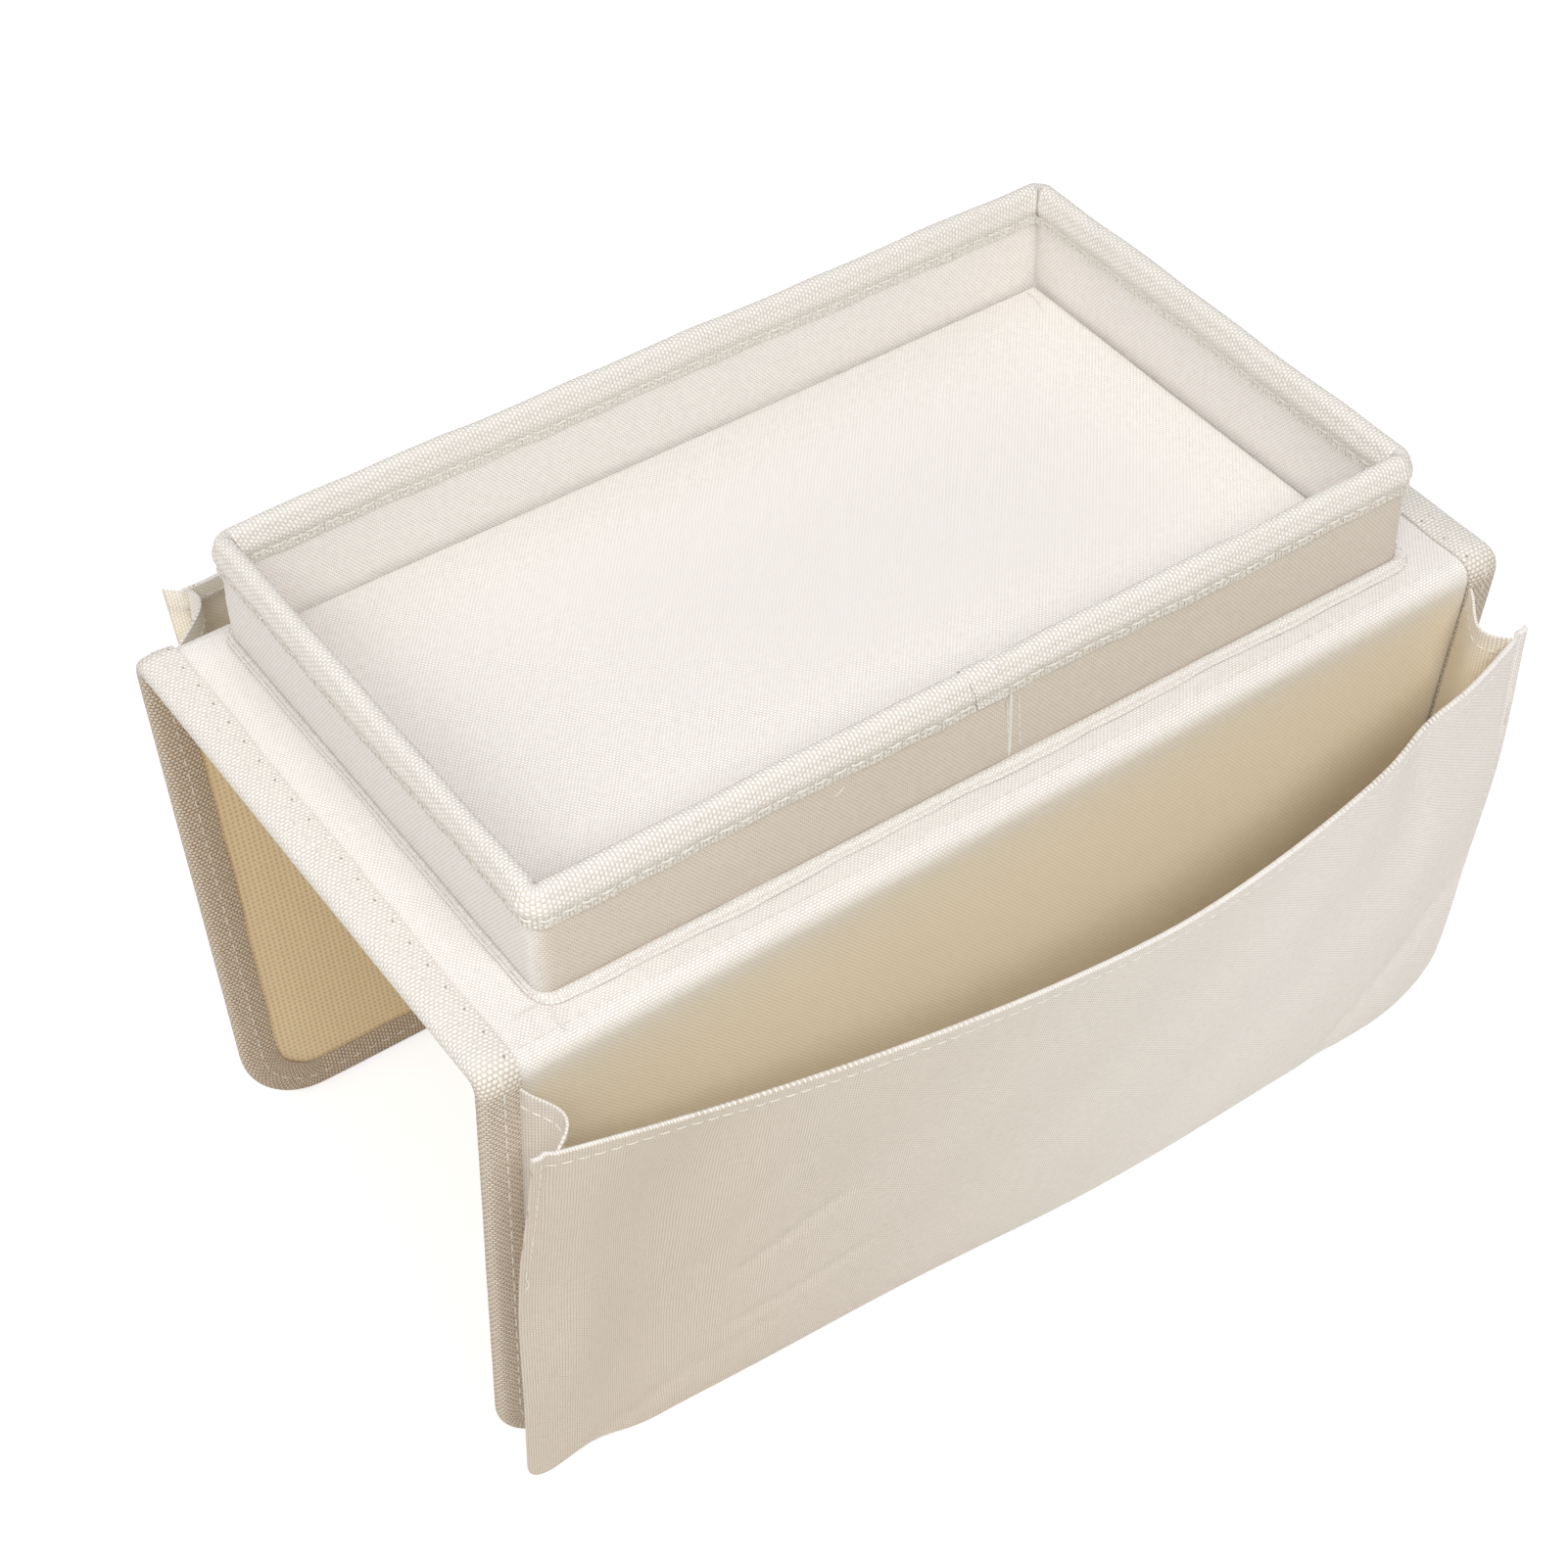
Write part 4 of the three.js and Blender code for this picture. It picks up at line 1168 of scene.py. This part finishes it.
def felt(name, tone, dot, pitch):
    """Non-woven lining with rows of pressed dots."""
    nodes = Nodes(name)
    flat = nodes.new("ShaderNodeUVMap", uv_map="weave").outputs[0]
    part = nodes.new("ShaderNodeSeparateXYZ", {0: flat})
    first = nodes.math("SINE", nodes.math("MULTIPLY", part.outputs[0], math.pi / pitch))
    second = nodes.math("SINE", nodes.math("MULTIPLY", part.outputs[1], math.pi / pitch))
    spot = nodes.math("ABSOLUTE", nodes.math("MULTIPLY", first, second))
    spot = nodes.math("POWER", spot, 3.0)
    fibre = nodes.new("ShaderNodeTexNoise", {"Vector": flat, "Scale": 900.0, "Detail": 4.0}).outputs["Fac"]
    mixed = nodes.math("ADD", spot, nodes.math("MULTIPLY", fibre, 0.25), clamp=True)
    nodes.bump(nodes.math("SUBTRACT", nodes.math("MULTIPLY", fibre, 0.4), spot), 0.15 * MM)
    return nodes.finish(nodes.mix(mixed, opaque(tone), opaque(dot)), 0.95)


def twist(name, tone):
    """Sewing thread with its twist."""
    nodes = Nodes(name)
    part = nodes.new("ShaderNodeSeparateXYZ", {0: nodes.new("ShaderNodeUVMap", uv_map="weave").outputs[0]})
    turned = nodes.math("ADD", part.outputs[0], part.outputs[1])
    ply = nodes.math("SINE", nodes.math("MULTIPLY", turned, 2 * math.pi / (0.5 * MM)))
    ply = nodes.math("MULTIPLY", nodes.math("ADD", ply, 1.0), 0.5)
    nodes.bump(ply, 0.05 * MM)
    dark = tuple(0.82 * value for value in tone)
    return nodes.finish(nodes.mix(ply, opaque(dark), opaque(tone)), 0.7, 0.1)


def fibre_board(name, tone):
    """Pressed grey-brown board, with flecks."""
    nodes = Nodes(name)
    spot = nodes.new("ShaderNodeTexCoord").outputs["Object"]
    fleck = nodes.new("ShaderNodeTexNoise", {"Vector": spot, "Scale": 350.0, "Detail": 5.0}).outputs["Fac"]
    nodes.bump(fleck, 0.1 * MM)
    dark = tuple(0.6 * value for value in tone)
    return nodes.finish(nodes.mix(fleck, opaque(dark), opaque(tone)), 0.95)


def get_looks(settings):
    """The materials, made on first use."""
    cloth = settings.cloth
    if "woven_cover" not in bpy.data.materials:
        cover, tape = (cloth.cover, cloth.cover_gap), (cloth.tape, cloth.tape_gap)
        woven = (cloth.yarn, cloth.rib, 0.12 * MM)
        ribbed = (cloth.tape_yarn, 1.35 * cloth.tape_yarn, 0.3 * MM, 0.95)
        # The cover takes the painted warm bounce light and shade colours where the mesh's shade is high.
        weave("woven_cover", cover, (cloth.inside, cloth.inside_gap), *woven)
        # The cover darkened towards the painted shade colours where the mesh's shade is high.
        weave("woven_panel", cover, (cloth.panel, cloth.panel_gap), *woven)
        # Both tapes take the painted shade colours where the mesh's shade is high.
        weave("binding_tape", tape, (cloth.tape_painted_shade, cloth.tape_painted_shade_gap), *ribbed)
        weave("pierced_tape", tape, (cloth.tape_painted_shade, cloth.tape_painted_shade_gap), *ribbed, holes=2.2 * MM)
        felt("dotted_lining", cloth.lining, cloth.lining_dot, 1.8 * MM)
        twist("sewing_thread", cloth.thread)
        fibre_board("fibre_board", cloth.board)
    names = {
        "cover": "woven_cover", "panel": "woven_panel", "tape": "binding_tape", "pierced": "pierced_tape",
        "lining": "dotted_lining", "thread": "sewing_thread", "board": "fibre_board",
    }
    return {key: bpy.data.materials[name] for key, name in names.items()}


def seen_rays(tree):
    """One for rays from the camera, also by way of a shiny or a clear surface."""
    ray = tree.nodes.new("ShaderNodeLightPath")
    seen = ray.outputs["Is Camera Ray"]
    for kind in ("Is Glossy Ray", "Is Transmission Ray"):
        most = tree.nodes.new("ShaderNodeMath")
        most.operation = "MAXIMUM"
        tree.links.new(seen, most.inputs[0])
        tree.links.new(ray.outputs[kind], most.inputs[1])
        seen = most.outputs[0]
    return seen


# Stage

# Soft lights: name, azimuth and elevation in degrees, and size in metres
LAMPS = (
    ("key", -42, 47, 1.0),
    ("front", -4, 51, 0.9),
    ("left", -95, 40, 1.2),
    ("back", 150, 55, 1.4),
)


def direction(turn, rise):
    """The way to a place at an azimuth from the front and an elevation, both in radians."""
    return Vector((math.sin(turn) * math.cos(rise), -math.cos(turn) * math.cos(rise), math.sin(rise)))


def place_camera(stage, scene):
    """Places the camera where the photo was taken from."""
    back = direction(stage.azimuth, stage.elevation)
    level = (-back).cross(Vector((0, 0, 1))).normalized()
    below = (-back).cross(level)
    right = math.cos(stage.roll) * level + math.sin(stage.roll) * below
    down = math.cos(stage.roll) * below - math.sin(stage.roll) * level
    place = -(right * stage.right + down * stage.down - back * stage.ahead)
    data = bpy.data.cameras.new("camera")
    data.sensor_width = 36
    data.lens = stage.focal
    made = bpy.data.objects.new("camera", data)
    made.matrix_world = Matrix.Translation(place) @ Matrix((right, -down, back)).transposed().to_4x4()
    scene.collection.objects.link(made)
    scene.camera = made


def make_world(stage, scene):
    """An even light from all round that the camera sees as white."""
    world = bpy.data.worlds.new("world")
    world.use_nodes = True
    tree = world.node_tree
    light = tree.nodes["Background"]
    white = tree.nodes.new("ShaderNodeBackground")
    for node, strength in ((light, stage.ambient), (white, 1.0)):
        node.inputs["Color"].default_value = (1, 1, 1, 1)
        node.inputs["Strength"].default_value = strength
    mixed = tree.nodes.new("ShaderNodeMixShader")
    for number, source in enumerate((seen_rays(tree), light.outputs[0], white.outputs[0])):
        tree.links.new(source, mixed.inputs[number])
    tree.links.new(mixed.outputs[0], tree.nodes["World Output"].inputs[0])
    scene.world = world


def make_floor(scene):
    """A white floor under the lowest edge, with a faint shadow near the object."""
    size = 6.0
    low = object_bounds()[0][2]
    mesh = bpy.data.meshes.new("stage_floor")
    corners = [(-size, -size, low), (size, -size, low), (size, size, low), (-size, size, low)]
    mesh.from_pydata(corners, [], [(0, 1, 2, 3)])
    nodes = Nodes("white_floor")
    tree = nodes.tree
    nodes.finish((0.5, 0.5, 0.5, 1.0), 1.0)
    glow = nodes.new("ShaderNodeEmission", {"Color": (1, 1, 1, 1), "Strength": 0.7})
    dim = nodes.new("ShaderNodeBsdfDiffuse", {"Color": (0.9, 0.87, 0.82, 1.0)})
    lit = nodes.new("ShaderNodeAddShader", {0: nodes.surface.outputs[0], 1: glow.outputs[0]})
    white = nodes.new("ShaderNodeEmission", {"Color": (1, 1, 1, 1), "Strength": 1.0})
    spot = nodes.new("ShaderNodeNewGeometry").outputs["Position"]
    away = nodes.new("ShaderNodeVectorMath", {0: spot}, operation="LENGTH").outputs["Value"]
    far = nodes.new("ShaderNodeMapRange", {0: away, 1: 0.5, 2: 1.1}, interpolation_type="SMOOTHSTEP")
    faded = nodes.new("ShaderNodeMixShader", {0: far.outputs[0], 1: lit.outputs[0], 2: white.outputs[0]})
    mixed = nodes.new("ShaderNodeMixShader", {0: seen_rays(tree), 1: dim.outputs[0], 2: faded.outputs[0]})
    tree.links.new(mixed.outputs[0], tree.nodes["Material Output"].inputs[0])
    mesh.materials.append(nodes.material)
    made = bpy.data.objects.new("stage_floor", mesh)
    scene.collection.objects.link(made)
    made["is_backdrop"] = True


def make_lamp(scene, name, way, size, power):
    """A soft round light that faces the object."""
    far = 2.2
    aim = Vector((0, 0, -0.05))
    data = bpy.data.lights.new(name, "AREA")
    data.shape = "DISK"
    data.size = size
    data.energy = power
    made = bpy.data.objects.new(name, data)
    made.location = far * way
    made.rotation_euler = (aim - far * way).to_track_quat("-Z", "Y").to_euler()
    scene.collection.objects.link(made)


# Operators

class MakeSaddleCloth(bpy.types.Operator):
    """Make the cover and the lining of both halves of the saddle"""
    bl_idname = "organizer.make_saddle_cloth"
    bl_label = "Saddle cloth"
    bl_options = {"REGISTER", "UNDO"}

    def execute(self, context):
        settings = context.scene.organizer
        looks = get_looks(settings)
        for name in SIDES:
            side = Side(name, settings)
            cover_half(side, settings, looks)
            lining_half(side, settings, looks)
        return {"FINISHED"}


class MakeSaddleBinding(bpy.types.Operator):
    """Make the tape round the saddle's edges, with its stitches"""
    bl_idname = "organizer.make_saddle_binding"
    bl_label = "Saddle binding"
    bl_options = {"REGISTER", "UNDO"}

    def execute(self, context):
        settings = context.scene.organizer
        looks = get_looks(settings)
        for name in SIDES:
            binding_half(Side(name, settings), settings, looks)
        return {"FINISHED"}


class MakeTray(bpy.types.Operator):
    """Make the tray's wall cloths, rim binding and base welt"""
    bl_idname = "organizer.make_tray"
    bl_label = "Tray"
    bl_options = {"REGISTER", "UNDO"}

    def execute(self, context):
        settings = context.scene.organizer
        looks = get_looks(settings)
        tray_walls(settings, looks)
        tray_rim(settings, looks)
        tray_welt(settings, looks)
        return {"FINISHED"}


class MakeFloorPanel(bpy.types.Operator):
    """Make the loose panel on the tray's floor"""
    bl_idname = "organizer.make_floor_panel"
    bl_label = "Floor panel"
    bl_options = {"REGISTER", "UNDO"}

    def execute(self, context):
        floor_panel(get_looks(context.scene.organizer))
        return {"FINISHED"}


class MakePockets(bpy.types.Operator):
    """Make the panel, hem and gussets of both pockets"""
    bl_idname = "organizer.make_pockets"
    bl_label = "Pockets"
    bl_options = {"REGISTER", "UNDO"}

    def execute(self, context):
        settings = context.scene.organizer
        looks = get_looks(settings)
        for name in SIDES:
            pocket = Pocket(Side(name, settings), settings)
            seam_ends = [side_gusset(pocket, looks, "left", -1), side_gusset(pocket, looks, "right", 1)]
            bottom_gusset(pocket, looks, seam_ends)
            pocket_panel(pocket, looks)
        return {"FINISHED"}


class FinishBoards(bpy.types.Operator):
    """Give the boards inside the flaps, walls, top and floor their surface"""
    bl_idname = "organizer.finish_boards"
    bl_label = "Boards"
    bl_options = {"REGISTER", "UNDO"}

    def execute(self, context):
        board = get_looks(context.scene.organizer)["board"]
        for name, node in frame["nodes"].items():
            if "board" in name:
                node.data.materials.clear()
                node.data.materials.append(board)
        return {"FINISHED"}


class MakeStage(bpy.types.Operator):
    """Set the camera, the light and the white floor"""
    bl_idname = "organizer.make_stage"
    bl_label = "Stage"
    bl_options = {"REGISTER", "UNDO"}

    def execute(self, context):
        scene = context.scene
        stage = scene.organizer.stage
        scene.view_settings.view_transform = "Standard"
        place_camera(stage, scene)
        make_world(stage, scene)
        make_floor(scene)
        for name, azimuth, elevation, size in LAMPS:
            way = direction(math.radians(azimuth), math.radians(elevation))
            make_lamp(scene, name + "_light", way, size, getattr(stage, name))
        return {"FINISHED"}


STEPS = (
    MakeSaddleCloth, MakeSaddleBinding, MakeTray, MakeFloorPanel, MakePockets, FinishBoards, MakeStage
)


class OrganizerPanel(bpy.types.Panel):
    """Lists the steps in the sidebar"""
    bl_idname = "ORGANIZER_PT_steps"
    bl_label = "Sofa armrest organizer"
    bl_space_type = "VIEW_3D"
    bl_region_type = "UI"
    bl_category = "Organizer"

    def draw(self, context):
        for step in STEPS:
            self.layout.operator(step.bl_idname)


CLASSES = (
    SaddleSettings, TraySettings, FrontPocketSettings, RearPocketSettings, ClothSettings, StageSettings,
    OrganizerSettings, *STEPS, OrganizerPanel
)


def register():
    """Adds the settings, the steps and the panel."""
    for each in CLASSES:
        bpy.utils.register_class(each)
    bpy.types.Scene.organizer = bpy.props.PointerProperty(
        type=OrganizerSettings, name="Organizer", description="Settings of the armrest organizer"
    )


def unregister():
    """Takes them away again."""
    del bpy.types.Scene.organizer
    for each in reversed(CLASSES):
        bpy.utils.unregister_class(each)


def main():
    """Makes every piece in order."""
    register()
    bpy.ops.organizer.make_saddle_cloth()
    bpy.ops.organizer.make_saddle_binding()
    bpy.ops.organizer.make_tray()
    bpy.ops.organizer.make_floor_panel()
    bpy.ops.organizer.make_pockets()
    bpy.ops.organizer.finish_boards()
    bpy.ops.organizer.make_stage()


if __name__ == "__main__":
    main()
